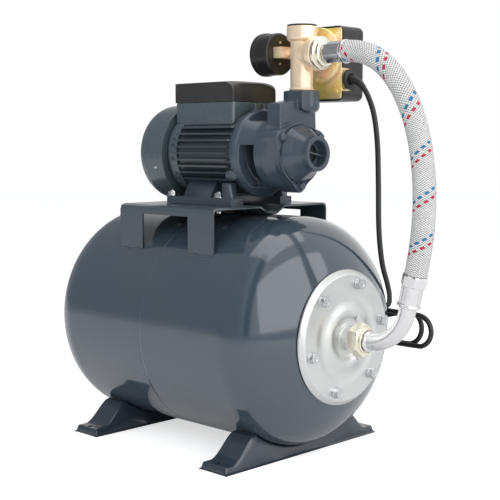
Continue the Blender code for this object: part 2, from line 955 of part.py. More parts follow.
def build_foot(name, place, parent):
    bm = bmesh.new()
    outside = foot_grid(bm, 0)
    inside = foot_grid(bm, foot_sheet)
    for rows in (outside, inside):
        for low, high in zip(rows, rows[1:]):
            for a, b, c, d in zip(low, low[1:], high[1:], high):
                bm.faces.new((a, b, c, d))
    outer_ring = border(outside)
    floor_ring = [bm.verts.new((v.co.x, v.co.y, 0.0)) for v in outer_ring]
    bridge(bm, outer_ring, floor_ring)
    inner_ring = border(inside)
    edges = []
    for ring in (floor_ring, inner_ring):
        for a, b in zip(ring, ring[1:] + ring[:1]):
            edges.append(bm.edges.get((a, b)) or bm.edges.new((a, b)))
    bmesh.ops.triangle_fill(bm, use_beauty=True, use_dissolve=False, edges=edges)
    foot = place_mesh(name, bm, navy_enamel, parent, (place, 0, 0))
    reach = foot_length / 2 - foot_hole_inset
    holes = cylinders(name + "_holes", foot_hole_radius, foot_pad_height - foot_sheet - 0.004,
                      foot_pad_height + 0.004, parent, [(place, -reach), (place, reach)])
    cut(foot, holes)


# Stand


def bent_strip(points, thickness, radius, steps=2):
    """The outline of a sheet bent along a path; the path is its outer face."""
    path = [Vector(points[0])]
    for a, b, c in zip(points, points[1:], points[2:]):
        a, b, c = Vector(a), Vector(b), Vector(c)
        before = (a - b).normalized()
        after = (c - b).normalized()
        half = before.angle(after) / 2
        length = radius / (sin(half) / cos(half))
        length = min(length, (a - b).length * 0.45, (c - b).length * 0.45)
        start = b + before * length
        end = b + after * length
        for k in range(steps + 1):
            t = k / steps
            path.append(start * (1 - t) ** 2 + b * 2 * t * (1 - t) + end * t * t)
    path.append(Vector(points[-1]))
    back = []
    for k, point in enumerate(path):
        ahead = path[min(k + 1, len(path) - 1)] - path[max(k - 1, 0)]
        ahead.normalize()
        side = Vector((ahead.y, -ahead.x))
        if 0 < k < len(path) - 1:
            turn = (path[k + 1] - point).normalized()
            stretch = 1 / max(0.5, turn.dot(ahead))
        else:
            stretch = 1.0
        back.append(point + side * thickness * stretch)
    return path, back


def build_stand(parent):
    line = guide("stand_line", (0, 0, 0), "X", parent)
    seat = tank_radius + clearance
    side = stand_half_width
    top = stand_top

    def tank_level(y):
        return tank_axis_height + sqrt(seat ** 2 - y ** 2)

    points = [(-side, tank_level(side)), (-side, top), (-channel_half_width, top),
              (-channel_floor_half_width, top - channel_depth),
              (channel_floor_half_width, top - channel_depth), (channel_half_width, top),
              (side, top), (side, tank_level(side))]
    outer, back = bent_strip(points, stand_sheet, stand_bend_radius)
    back[0].y = tank_level(back[0].x)
    back[-1].y = tank_level(back[-1].x)
    outline = [tuple(p) for p in outer] + [tuple(p) for p in reversed(back)]
    stand = prism("pump_stand", outline, stand_rear, stand_front, grey_enamel, line)
    reach = (stand_rear + stand_leg_width, stand_front - stand_leg_width)
    inner = stand_half_width - 0.02
    outer_side = stand_half_width + 0.02
    levels = (tank_axis_height, stand_window_height)
    window = boxes("stand_windows", [(reach, (-outer_side, -inner), levels), (reach, (inner, outer_side), levels)],
                   None, parent)
    places = stand_bolt_places()
    holes = cylinders("stand_bolt_holes", stand_bolt_radius + clearance, stand_top - 0.01,
                      stand_top + 0.02, parent, places)
    cut(stand, window, holes)
    return holes


def stand_bolt_places():
    return [(x, y) for x in (stand_bolt_rear, stand_bolt_front) for y in (-stand_bolt_side, stand_bolt_side)]


# Motor


def build_motor(parent, holes):
    line = guide("shaft_line", (0, 0, shaft_height), "X", parent)
    build_frame(line)
    build_stator(line)
    build_rear_shield(line)
    build_rotating_group(line)
    build_fan_cover(line)
    build_motor_foot(parent, line, holes)
    build_terminal_box(parent, line)
    for k, place in enumerate(stand_bolt_places()):
        build_stand_bolt(f"stand_bolt_{k + 1}", parent, place)
    return line


def build_frame(line):
    """The frame's section: a round body with level fins on both sides."""
    outline = []
    body = frame_radius
    rows = [(k - (fin_count - 1) / 2) * fin_pitch for k in range(fin_count)]
    half = fin_thickness / 2

    def body_at(level):
        return sqrt(body ** 2 - level ** 2)

    def tip_at(level):
        return sqrt(fin_radius ** 2 - level ** 2)

    for level in rows:
        low, high = level - half, level + half
        outline += [(body_at(low), low), (tip_at(low), low), (tip_at(high), high), (body_at(high), high)]
    start = atan2(outline[-1][1], outline[-1][0])
    arc_steps = 8
    for k in range(1, arc_steps):
        angle = start + (pi - 2 * start) * k / arc_steps
        outline.append((body * cos(angle), body * sin(angle)))
    for level in reversed(rows):
        low, high = level - half, level + half
        outline += [(-body_at(high), high), (-tip_at(high), high), (-tip_at(low), low), (-body_at(low), low)]
    for k in range(1, arc_steps):
        angle = pi + start + (pi - 2 * start) * k / arc_steps
        outline.append((body * cos(angle), body * sin(angle)))
    frame = prism("motor_frame", outline, frame_rear, frame_front, grey_enamel, line)
    bore = cylinder("frame_bore", frame_bore, frame_rear - 0.01, frame_front + 0.01, line, large_round)
    cut(frame, bore)


def build_stator(line):
    out = frame_bore - clearance
    coil = out - 0.006
    coil_in = stator_bore + 0.003
    front = stator_front + winding_overhang
    rear = stator_rear - winding_overhang
    profile = [(stator_bore, stator_rear), (coil_in, rear), (coil, rear), (coil, stator_rear),
               (out, stator_rear), (out, stator_front), (coil, stator_front), (coil, front),
               (coil_in, front), (stator_bore, stator_front)]
    turned("stator", profile, copper, line, hidden_round)


def rear_bearing_place():
    return frame_rear - clearance - 0.004 - bearing_width


def build_rear_shield(line):
    """Rear end shield: the fan cover grips its flange, the bearing sits in its hub."""
    seat = bearing_radius + clearance
    face = frame_rear - clearance
    spigot = frame_bore - clearance
    bearing_rear = rear_bearing_place() - clearance
    rear = bearing_rear - 0.002
    flange_rear = fan_cover_front - 0.010
    flange_radius = fan_cover_radius - fan_cover_wall - clearance
    profile = [(shield_radius, fan_cover_front + 0.001), (shield_radius, shield_rim_rear),
               (shield_rim_radius, shield_rim_rear), (shield_rim_radius, face), (spigot - 0.003, face),
               (spigot - 0.005, face - 0.006), (seat + 0.004, face - 0.006), (seat, face - 0.004),
               (seat, bearing_rear), (seat - 0.004, bearing_rear), (seat - 0.004, rear),
               (flange_radius, flange_rear), (flange_radius, fan_cover_front - 0.001)]
    turned("rear_shield", profile, grey_enamel, line, small_round)


def build_rotating_group(line):
    """The shaft carries the rotor, the fan, the seal's turning half and the impeller."""
    spin = guide("shaft_spin_line", (0, 0, 0), "Z", line)
    rear_bearing = rear_bearing_place()
    front_bearing = bearing_plate - 0.002 - clearance - bearing_width
    journal = bearing_bore - clearance
    rotor_rear = stator_rear
    rotor_front = stator_front
    end = shaft_end_radius
    profile = [(0, shaft_rear_end), (end - 0.001, shaft_rear_end), (end, shaft_rear_end + 0.001),
               (end, rear_bearing - 0.003), (journal, rear_bearing - 0.003),
               (journal, rear_bearing + bearing_width + 0.0005), (shaft_radius, rear_bearing + bearing_width + 0.0005),
               (shaft_radius, front_bearing - 0.0005), (journal, front_bearing - 0.0005),
               (journal, front_bearing + bearing_width + 0.001), (end, front_bearing + bearing_width + 0.001),
               (end, shaft_front_end - 0.001), (end - 0.001, shaft_front_end), (0, shaft_front_end)]
    turned("motor_shaft", profile, steel, spin, tiny_round)
    bore = shaft_radius + clearance
    rotor = [(bore, rotor_rear), (rotor_radius, rotor_rear), (rotor_radius, rotor_front), (bore, rotor_front)]
    turned("rotor", rotor, steel, spin, hidden_round)
    for name, start in (("bearing_rear", rear_bearing), ("bearing_front", front_bearing)):
        ends = (start, start + bearing_width)
        race = [(bearing_bore, ends[0]), (bearing_radius, ends[0]), (bearing_radius, ends[1]), (bearing_bore, ends[1])]
        turned(name, race, steel, line, hidden_round)
    build_fan(spin)
    seal_front = chamber_back - 0.001
    seal_rear = seal_front - seal_pocket_depth + 0.0015
    seal = [(end + clearance, seal_rear), (seal_radius, seal_rear), (seal_radius, seal_front - 0.0005),
            (seal_radius - 0.0015, seal_front), (end + clearance, seal_front)]
    turned("shaft_seal", seal, black_rubber, spin, tiny_round)
    build_impeller(spin)


def build_fan(spin):
    hub = fan_hub_radius
    half = fan_blade_thickness / 2
    root = asin(half / hub)
    tip = asin(half / fan_radius)
    angles = []
    for k in range(fan_blade_count):
        centre = 2 * pi * k / fan_blade_count
        angles += [centre - root, centre - tip, centre + tip, centre + root, centre + pi / fan_blade_count]

    def blade(angle):
        off = (angle + pi / fan_blade_count) % (2 * pi / fan_blade_count) - pi / fan_blade_count
        return fan_radius if abs(off) < (root + tip) / 2 else hub

    bore = shaft_end_radius + clearance
    profile = [(bore, fan_rear), (blade, fan_rear), (blade, fan_front - fan_plate),
               (fan_radius + 0.001, fan_front - fan_plate), (fan_radius + 0.001, fan_front), (bore, fan_front)]
    turned("fan", profile, dark_plastic, spin, angles)


def build_impeller(spin):
    pitch = 2 * pi / impeller_vanes
    root = impeller_radius - vane_depth
    angles = []
    for k in range(impeller_vanes):
        centre = k * pitch
        angles += [centre - 0.26 * pitch, centre - 0.20 * pitch, centre + 0.20 * pitch, centre + 0.26 * pitch]

    def vane(angle):
        off = (angle + pitch / 2) % pitch - pitch / 2
        return impeller_radius if abs(off) < 0.23 * pitch else root

    bore = shaft_end_radius + clearance
    profile = [(bore, impeller_rear), (vane, impeller_rear), (vane, impeller_front), (bore, impeller_front)]
    turned("impeller", profile, brass, spin, angles)


def build_fan_cover(line):
    outer = fan_cover_radius
    corner = fan_cover_corner
    profile = [(0, fan_cover_rear)]
    steps = 2
    for k in range(steps + 1):
        angle = pi / 2 * k / steps
        profile.append((outer - corner + corner * sin(angle), fan_cover_rear + corner - corner * cos(angle)))
    profile += [(outer, fan_cover_front), (outer - fan_cover_wall, fan_cover_front)]
    inner = corner - fan_cover_wall
    for k in range(steps + 1):
        angle = pi / 2 - pi / 2 * k / steps
        profile.append((outer - corner + inner * sin(angle), fan_cover_rear + corner - inner * cos(angle)))
    profile.append((0, fan_cover_rear + fan_cover_wall))
    cover = turned("fan_cover", profile, grey_enamel, line, large_round)
    bm = bmesh.new()
    for k in range(vent_count):
        turn = Matrix.Rotation(2 * pi * k / vent_count, 4, "Z")
        base = []
        top = []
        for x, y in ((vent_inner, -vent_width / 2), (vent_outer, -vent_width / 2),
                     (vent_outer, vent_width / 2), (vent_inner, vent_width / 2)):
            base.append(bm.verts.new(turn @ Vector((x, y, fan_cover_rear - 0.005))))
            top.append(bm.verts.new(turn @ Vector((x, y, fan_cover_rear + 0.005))))
        bm.faces.new(base)
        bm.faces.new(top)
        bridge(bm, base, top)
    cut(cover, place_mesh("vent_slots", bm, None, line))


def build_motor_foot(parent, line, holes):
    """Two rails under the frame, a cross web that carries it and an upright rib at each front end."""
    low = -shaft_centre_height
    plate = low + motor_foot_plate
    half = motor_foot_half_width
    base = shaft_height + low
    rails = []
    ribs = []
    for side in (-1, 1):
        inner, outer = sorted((side * (half - motor_foot_rail_width), side * half))
        rails.append(((motor_foot_rear, motor_foot_front), (inner, outer), (base, shaft_height + plate)))
        inner, outer = sorted((side * foot_rib_inner, side * foot_rib_outer))
        ribs.append(((foot_rib_rear, foot_rib_front), (inner, outer),
                     (shaft_height + plate - 0.002, base + foot_rib_top)))
    foot = boxes("motor_foot", rails, grey_enamel, parent)
    web_top = low + motor_web_top
    wide = motor_web_half_width
    narrow = motor_web_top_half_width
    outline = [(-wide, low), (wide, low), (wide, plate), (narrow, web_top), (-narrow, web_top), (-wide, plate)]
    web = prism("motor_foot_web", outline, motor_web_rear, motor_web_front, None, line)
    body = cylinder("frame_seat", frame_radius + clearance, motor_foot_rear - 0.01,
                    motor_foot_front + 0.01, line, large_round)
    fuse(foot, web, boxes("motor_foot_ribs", ribs, None, parent))
    cut(foot, body, holes)


def build_terminal_box(parent, line):
    seat = cylinder("box_seat", frame_radius + clearance, box_rear - 0.02, box_front + 0.02, line, large_round)
    outline = rounded_outline(box_rear, box_front, -box_half_width, box_half_width, box_corner)
    low = shaft_height + box_bottom
    top = shaft_height + box_top
    box = prism("terminal_box", outline, low, top, grey_enamel, parent)
    pocket_outline = rounded_outline(box_rear + box_wall, box_front - box_wall, -box_half_width + box_wall,
                                     box_half_width - box_wall, box_corner - box_wall)
    floor = shaft_height + shield_rim_radius + clearance + box_wall
    pocket = prism("box_pocket", pocket_outline, floor, top + 0.01, None, parent)
    rim_seat = cylinder("shield_rim_seat", shield_rim_radius + clearance, box_rear - 0.02, frame_rear,
                        line, large_round)
    cut(box, seat, rim_seat, pocket)
    build_lid(parent, top + clearance)
    middle = (box_rear + box_front) / 2
    case = guide("capacitor_line", (middle, 0, floor + clearance + capacitor_radius), "X", parent)
    half = capacitor_length / 2
    profile = [(0, -half), (capacitor_radius, -half), (capacitor_radius, half), (0, half)]
    turned("capacitor", profile, dark_plastic, case, tiny_round)


def lid_section(bm, x, half, side, crown, low, steps=8):
    """One arched cross section of the lid at a place along X."""
    points = [bm.verts.new((x, -half, low))]
    for k in range(steps + 1):
        y = -half + 2 * half * k / steps
        arch = 1 - (y / half) ** 4
        points.append(bm.verts.new((x, y, low + side + (crown - side) * arch)))
    points.append(bm.verts.new((x, half, low)))
    return points


def build_lid(parent, low):
    bm = bmesh.new()
    nose = lid_nose_length
    stations = [(box_rear, box_half_width - 0.0012, lid_side_height - 0.0006, lid_crown_height - 0.0006),
                (box_rear + 0.0015, box_half_width, lid_side_height, lid_crown_height)]
    for k in range(6):
        share = k / 5
        drop = 1 - sqrt(max(0.0, 1 - share ** 2))
        side = lid_side_height - (lid_side_height - lid_nose_side_height) * drop
        crown = lid_crown_height - (lid_crown_height - lid_nose_crown_height) * drop
        half = box_half_width - 0.0012 * (share ** 6)
        stations.append((box_front - nose * (1 - share), half, side, crown))
    sections = [lid_section(bm, x, half, side, crown, low) for x, half, side, crown in stations]
    for first, second in zip(sections, sections[1:]):
        bridge(bm, first, second)
    bm.faces.new(sections[0])
    bm.faces.new(sections[-1])
    lid = place_mesh("terminal_lid", bm, dark_plastic, parent)
    hollow = bmesh.new()
    sections = []
    wall = lid_wall
    for k, (x, half, side, crown) in enumerate(stations[1:]):
        x = max(box_rear + wall, min(box_front - wall, x + (wall if k == 0 else 0)))
        if sections and x - last < 0.0008:
            continue
        last = x
        inner = lid_section(hollow, x, box_half_width - wall, side - wall, crown - wall - 0.0004, low)
        inner[0].co.z = low - 0.01
        inner[-1].co.z = low - 0.01
        sections.append(inner)
    for first, second in zip(sections, sections[1:]):
        bridge(hollow, first, second)
    hollow.faces.new(sections[0])
    hollow.faces.new(sections[-1])
    cut(lid, place_mesh("lid_hollow", hollow, None, parent))


def build_stand_bolt(name, parent, place):
    """A bolt with its nut and washers, through the motor foot and the stand."""
    x, y = place
    base = shaft_height - shaft_centre_height
    plate = base + motor_foot_plate + clearance
    under = stand_top - stand_sheet - clearance
    hexagon = polygon(stand_bolt_hex)
    radius = stand_bolt_radius
    washer = stand_bolt_washer
    nut = under - stand_bolt_nut
    head = plate + stand_bolt_washer_thickness
    top = head + stand_bolt_head
    profile = [(0, under - stand_bolt_tail), (radius, under - stand_bolt_tail), (radius, nut), (hexagon, nut),
               (hexagon, under), (radius, under), (radius, plate), (washer, plate), (washer, head),
               (hexagon, head), (hexagon, top), (radius, top), (radius, top + stand_bolt_stub),
               (0, top + stand_bolt_stub)]
    turned(name, profile, zinc, parent, tiny_round, (x, y, 0))


# Pump


def build_casing(line, parent):
    """The casting: motor rim, lantern, chamber, discharge column and port boss."""
    seat = bearing_radius + clearance
    lobes = three_lobes()
    half_lobes = larger(casing_radius, blend(casing_radius, lobes, 0.5))
    bearing_shoulder = bearing_plate - 0.002
    profile = [
        (rim_radius, rim_rear + clearance), (rim_radius, rim_front),
        (neck_radius, rim_front + neck_blend / 2), (neck_radius - 0.0016, rim_front + neck_blend),
        (casing_radius + 0.0012, lantern_end - 0.007), (casing_radius, lantern_end - 0.002), (half_lobes, 0.104),
        (larger(casing_radius - 0.001, lobes), 0.110), (lobes, casing_front - 0.004), (lobes, casing_front),
        (chamber_radius, casing_front), (chamber_radius, chamber_back), (seal_pocket_radius, chamber_back),
        (seal_pocket_radius, chamber_back - seal_pocket_depth),
        (shaft_end_radius + 0.001, chamber_back - seal_pocket_depth), (shaft_end_radius + 0.001, lantern_end),
        (lantern_radius, lantern_end), (lantern_radius + 0.002, bearing_plate), (seat - 0.004, bearing_plate),
        (seat - 0.004, bearing_shoulder), (seat, bearing_shoulder), (seat, rim_rear + clearance),
    ]
    casing = turned("pump_casing", profile, grey_enamel, line, lobed_round)
    half = top_pocket_half_width
    pocket = boxes("top_pocket", [((top_pocket_rear, top_pocket_front), (-half, half),
                                   (shaft_height + top_pocket_floor, shaft_height + rim_radius + 0.01))], None, parent)
    cut(casing, pocket)
    outline = [(column_left, column_root), (column_left, column_low_top), (column_slope_end, column_high_top),
               (column_right, column_high_top), (column_right + 0.002, 0.028),
               (column_right + 0.001, column_right_root), (0.028, 0.018), (0.012, 0.034), (-0.012, 0.034)]
    column = prism("discharge_column", outline, column_rear, column_front, None, line)
    riser = guide("port_line", (riser_place, riser_side, shaft_height), "Z", parent)
    under = port_underside
    boss = turned("port_boss", [(0, under - 0.006), (port_radius - 0.008, under - 0.005),
                                (port_radius - 0.002, under - 0.001), (port_radius, under + 0.003),
                                (port_radius, port_top), (0, port_top)], None, riser, medium_round)
    ears = [((ear_rear, ear_front), (place - ear_width / 2, place + ear_width / 2),
             (shaft_height + rim_radius - 0.006, shaft_height + ear_top)) for place in ear_places]
    fuse(casing, column, boss, boxes("rim_ears", ears, None, parent), build_tie_lugs(line), solver="MANIFOLD")
    reach = (window_rear, lantern_end - 0.001)
    levels = (shaft_height - window_bottom, shaft_height + window_top)
    inner = 0.015
    windows = boxes("lantern_windows", [(reach, (-rim_radius - 0.01, -inner), levels),
                                        (reach, (inner, rim_radius + 0.01), levels)], None, parent)
    bore = cylinder("port_bore", port_bore, port_top - 0.022, port_top + 0.01, riser)
    column_middle = (column_rear + column_front) / 2
    way = turned("discharge_passage", [(0, 0.012), (passage_radius, 0.012), (passage_radius, port_top - 0.015),
                                       (0, port_top - 0.015)], None, riser, tiny_round,
                 (column_middle - riser_place, passage_side - riser_side, 0))
    cut(casing, windows, bore, way, solver="MANIFOLD")


def build_tie_lugs(line):
    """A lug with its nut on each side of the rim, low down, for the motor's tie bolts."""
    lugs = bmesh.new()
    hexagon = polygon(tie_nut_width)
    for side in (-1, 1):
        rings = []
        for radius, level in ((None, rim_rear + clearance), (None, rim_front), (hexagon, rim_front),
                              (hexagon, rim_front + tie_nut_height)):
            ring = []
            for n in range(tiny_round):
                angle = 2 * pi * n / tiny_round
                reach = radius(angle) if radius else tie_lug_radius
                ring.append(lugs.verts.new((side * tie_lug_side + reach * cos(angle),
                                            -tie_lug_drop + reach * sin(angle), level)))
            rings.append(ring)
        for low, high in zip(rings, rings[1:]):
            bridge(lugs, low, high)
        lugs.faces.new(rings[0])
        lugs.faces.new(rings[-1])
    return place_mesh("tie_lugs", lugs, None, line)


def build_suction_cover(line):
    lobes = three_lobes()
    edge = three_lobes(0.001)
    back = casing_front + clearance
    profile = [
        (lobes, back), (lobes, cover_front - 0.001), (edge, cover_front), (groove_radius, cover_front),
        (groove_radius, cover_front - groove_depth), (cone_base_radius, cover_front - groove_depth),
        (cone_base_radius - 0.0008, cover_front + 0.0022), (boss_radius + 0.0022, boss_back - 0.001),
        (boss_radius, boss_back + 0.001), (boss_radius, boss_face - boss_edge),
        (boss_radius - boss_edge, boss_face), (suction_bore + suction_chamfer, boss_face),
        (suction_bore, boss_face - suction_chamfer), (suction_bore, valve_seat_front),
        (valve_seat_bore, valve_seat_front), (valve_seat_bore, valve_seat_back),
        (inlet_radius, valve_seat_back), (inlet_radius, valve_seat_back - 0.006), (inlet_cone_radius, back),
    ]
    cover = turned("suction_cover", profile, grey_enamel, line, lobed_round)
    bar = crossbar_height / 2
    reach = suction_bore + 0.002
    crossbar = prism("crossbar", [(-reach, -bar), (reach, -bar), (reach, bar), (-reach, bar)],
                     crossbar_rear, crossbar_front, None, line, turn=(0, 0, crossbar_turn))
    heads = bmesh.new()
    hexagon = polygon(cover_bolt_hex)
    for k in range(3):
        angle = lobe_first_angle + k * 2 * pi / 3
        x, y = lobe_place * cos(angle), lobe_place * sin(angle)
        rings = []
        for level in (cover_front - 0.002, cover_front + cover_bolt_height):
            ring = []
            for n in range(6):
                side = pi / 6 + 2 * pi * n / 6
                reach_out = hexagon(side)
                ring.append(heads.verts.new((x + reach_out * cos(side), y + reach_out * sin(side), level)))
            rings.append(ring)
        bridge(heads, *rings)
        for ring in rings:
            heads.faces.new(ring)
    fuse(cover, crossbar, place_mesh("cover_bolt_heads", heads, None, line))
    build_check_flap(line)


def build_check_flap(line):
    """The check flap hangs from a knuckle at the top of the inlet and opens inward."""
    pivot = guide("flap_line", (0, flap_pivot, valve_seat_back - clearance - flap_thickness / 2), "Z", line)
    half = flap_thickness / 2
    disc = [(0, -half), (flap_radius, -half), (flap_radius, half), (0, half)]
    flap = turned("check_valve_flap", disc, brass, pivot, small_round)
    for vertex in flap.data.vertices:
        vertex.co.y -= flap_pivot
    bar = bmesh.new()
    rings = []
    for x in (-flap_knuckle_width / 2, flap_knuckle_width / 2):
        ring = []
        for k in range(8):
            angle = 2 * pi * k / 8
            radius = flap_knuckle_radius
            ring.append(bar.verts.new((x, radius * cos(angle), radius * sin(angle))))
        rings.append(ring)
    bridge(bar, *rings)
    for ring in rings:
        bar.faces.new(ring)
    fuse(flap, place_mesh("flap_knuckle", bar, None, pivot))


# Fittings


def build_riser(parent):
    riser = guide("riser_line", (riser_place, riser_side, port_level), "Z", parent)
    branch = guide("branch_line", (riser_place, riser_side, branch_level), "X", parent)
    gauge = guide("gauge_line", (riser_place, riser_side, gauge_level), "-X", parent)
    switch = guide("switch_line", (riser_place, riser_side, branch_level), "Y", parent)
    build_five_way(riser, branch, gauge, switch)
    build_gauge(gauge)
    build_switch(parent, switch)
    return branch


def build_five_way(riser, branch, gauge, switch):
    collar = riser_length - riser_collar_length
    thread = port_bore - clearance
    profile = [(0, -riser_thread_depth), (thread - 0.001, -riser_thread_depth), (thread, 0.001 - riser_thread_depth),
               (thread, clearance), (riser_radius + riser_lip, clearance),
               (riser_radius + riser_lip, 0.0020), (riser_radius, 0.0028), (riser_radius, collar - 0.001),
               (riser_collar_radius - 0.001, collar), (riser_collar_radius, collar + 0.001),
               (riser_collar_radius, riser_length - 0.0008), (riser_collar_radius - 0.0008, riser_length),
               (0, riser_length)]
    fitting = turned("five_way", profile, brass, riser, medium_round)
    boss = turned("hose_branch", [(0, 0.0012), (branch_neck_radius - 0.001, 0.0012), (branch_neck_radius, 0.011),
                                  (branch_radius - 0.002, 0.0155), (branch_radius, 0.019),
                                  (branch_radius, branch_length), (0, branch_length)], None, branch, medium_round)
    side = cylinder("switch_branch", switch_branch_radius, 0.0017, switch_branch_length, switch, hidden_round)
    fuse(fitting, boss, side, solver="MANIFOLD")
    way = cylinder("riser_way", riser_bore, -riser_thread_depth - 0.01, riser_length + 0.01, riser, hidden_round)
    out = cylinder("branch_way", branch_bore, 0.0031, branch_length + 0.01, branch, hidden_round)
    tap = cylinder("gauge_way", gauge_neck_radius + clearance, 0.006, riser_radius + 0.01, gauge, tiny_round)
    sense = cylinder("switch_way", switch_branch_bore, 0.004, switch_branch_length + 0.01, switch, 8)
    cut(fitting, way, out, tap, sense, solver="MANIFOLD")
    plug = riser_bore - clearance
    top = riser_length + clearance
    cap = [(0, top - cap_plug_depth), (plug, top - cap_plug_depth), (plug, top), (riser_collar_radius - 0.0005, top),
           (riser_collar_radius - 0.0005, top + cap_thickness - 0.0004),
           (riser_collar_radius - 0.001, top + cap_thickness), (0, top + cap_thickness)]
    turned("outlet_cap", cap, dark_plastic, riser, medium_round)


def build_gauge(line):
    """Gauge along local Z, which points away from the riser: stem, case, dial, needle, lens."""
    square = polygon(gauge_stem_width, 4, gauge_stem_width * 0.66)
    neck_start = riser_radius - 0.0032
    neck_end = riser_radius + gauge_neck_length
    stem_end = neck_end + gauge_stem_length
    stem = [(0.0015, neck_start), (gauge_neck_radius, neck_start), (gauge_neck_radius, neck_end),
            (square, neck_end), (square, stem_end), (0.0015, stem_end)]
    turned("gauge_stem", stem, yellow_zinc, line, tiny_round)
    back = stem_end + clearance
    front = back + gauge_depth
    bezel = front - gauge_bezel_depth
    lens_front = front - gauge_lens_inset
    lens_back = lens_front - gauge_lens_thickness
    dial_front = front - gauge_dial_depth
    inside = gauge_drum_radius - gauge_wall
    case = [(0, back), (gauge_drum_radius - 0.0012, back), (gauge_drum_radius, back + 0.0012),
            (gauge_drum_radius, bezel), (gauge_radius, bezel), (gauge_radius, front - 0.001),
            (gauge_radius - 0.001, front), (inside - 0.0015, front), (inside - 0.0015, lens_front + clearance),
            (inside, lens_front + clearance), (inside, back + gauge_wall), (0, back + gauge_wall)]
    turned("gauge_case", case, dark_plastic, line, medium_round)
    lens = [(0, lens_back), (inside - clearance, lens_back), (inside - clearance, lens_front), (0, lens_front)]
    turned("gauge_lens", lens, clear_glass, line, medium_round)
    hole = needle_spindle_radius + clearance
    dial_back = dial_front - gauge_dial_thickness
    dial = [(hole, dial_back), (inside - clearance, dial_back), (inside - clearance, dial_front), (hole, dial_front)]
    turned("gauge_dial", dial, white_dial, line, small_round)
    build_needle(line, dial_front)


def build_needle(line, dial_front):
    pivot = guide("needle_line", (0, 0, dial_front + 0.0008), "Z", line)
    rest = guide("needle_rest", (0, 0, 0), "Z", pivot)
    rest.rotation_euler = (0, 0, needle_rest_angle)
    spindle = needle_spindle_radius
    hub = [(0, -0.0030), (spindle, -0.0030), (spindle, 0), (needle_hub_radius, 0),
           (needle_hub_radius, 0.0018), (0, 0.0018)]
    needle = turned("gauge_needle", hub, dark_plastic, rest, tiny_round)
    half = needle_width / 2
    outline = [(-half * 1.6, -needle_tail), (half * 1.6, -needle_tail), (half, 0), (half * 0.35, needle_length),
               (-half * 0.35, needle_length), (-half, 0)]
    pointer = prism("needle_pointer", outline, 0.0004, 0.0004 + needle_thickness, None, rest)
    fuse(needle, pointer)


def build_switch(parent, line):
    """Pressure switch: diaphragm housing, sheet base, moulded cover and rubber gland."""
    front = housing_front
    back = front + housing_thickness
    bore = switch_branch_bore
    start = switch_branch_length + clearance
    housing = [(bore, start), (housing_neck_radius, start), (housing_neck_radius, front - 0.001),
               (housing_hub_radius, front), (housing_radius - 0.006, front), (housing_radius - 0.005, front + 0.0015),
               (housing_radius, front + 0.0015), (housing_radius, back - 0.001), (housing_radius - 0.001, back),
               (bore, back)]
    turned("diaphragm_housing", housing, yellow_zinc, line, medium_round)
    left = riser_place + switch_left
    right = riser_place + switch_right
    low = branch_level + switch_bottom
    top = branch_level + switch_top
    near = riser_side + switch_front
    depth = near + switch_depth
    face = guide("switch_face", (0, 0, 0), "Y", parent)
    plate = rounded_outline(left, right, -top, -low, switch_corner)
    base = prism("switch_base", plate, near, depth, yellow_zinc, face)
    wall = switch_wall
    pocket_outline = rounded_outline(left + wall, right - wall, -top + wall, -low - wall, switch_corner - wall)
    pocket = prism("switch_pocket", pocket_outline, near + wall, depth + 0.01, None, face)
    gland_level = branch_level + gland_height
    gland_place = riser_side + gland_side
    gland = guide("gland_line", (right, gland_place, gland_level), "X", parent)
    gland_hole = cylinder("gland_hole", gland_neck_radius + clearance, -0.01, 0.01, gland)
    cut(base, pocket, gland_hole)
    ring = [(cord_radius + clearance, -gland_neck_length), (gland_neck_radius, -gland_neck_length),
            (gland_neck_radius, clearance), (gland_radius, clearance),
            (gland_radius, gland_thickness - 0.0015), (gland_radius - 0.0015, gland_thickness),
            (cord_radius + 0.003, gland_thickness), (cord_radius + clearance, gland_thickness - 0.0025)]
    turned("switch_gland", ring, black_rubber, gland, small_round)
    build_switch_cover(parent, face, gland, (left, right, low, top), near, gland_place, gland_level)


def build_switch_cover(parent, face, gland, plate, near, gland_place, gland_level):
    left, right, low, top = plate
    wall = switch_cover_wall
    gap = clearance
    outer_outline = rounded_outline(left - wall - gap, right + wall + gap, -top - wall - gap,
                                    -low + wall + gap, switch_cover_corner, 5)
    far = riser_side + switch_cover_back
    start = near + 0.001
    cover = prism("switch_cover", outer_outline, start, far, dark_plastic, face)
    edge = cover.modifiers.new("rounded_back", "BEVEL")
    edge.width = 0.004
    edge.segments = 3
    edge.limit_method = "WEIGHT"
    weights = cover.data.attributes.new("bevel_weight_edge", "FLOAT", "EDGE")
    for item in cover.data.edges:
        ends = [cover.data.vertices[k].co.z for k in item.vertices]
        weights.data[item.index].value = 1.0 if min(ends) > far - 0.0001 else 0.0
    inner_outline = rounded_outline(left - gap, right + gap, -top - gap, -low + gap, switch_corner, 4)
    hollow = prism("cover_hollow", inner_outline, start - 0.01, far - wall, None, face)
    reach = gland_radius + gland_notch_margin
    notch_box = boxes("gland_notch", [((right - 0.002, right + 0.02), (start - 0.01, gland_place),
                                       (gland_level - reach, gland_level + reach))], None, parent)
    notch_round = cylinder("gland_notch_end", reach, -0.002, 0.02, gland)
    cut(cover, hollow, notch_box, notch_round)


# Hose and its end fittings


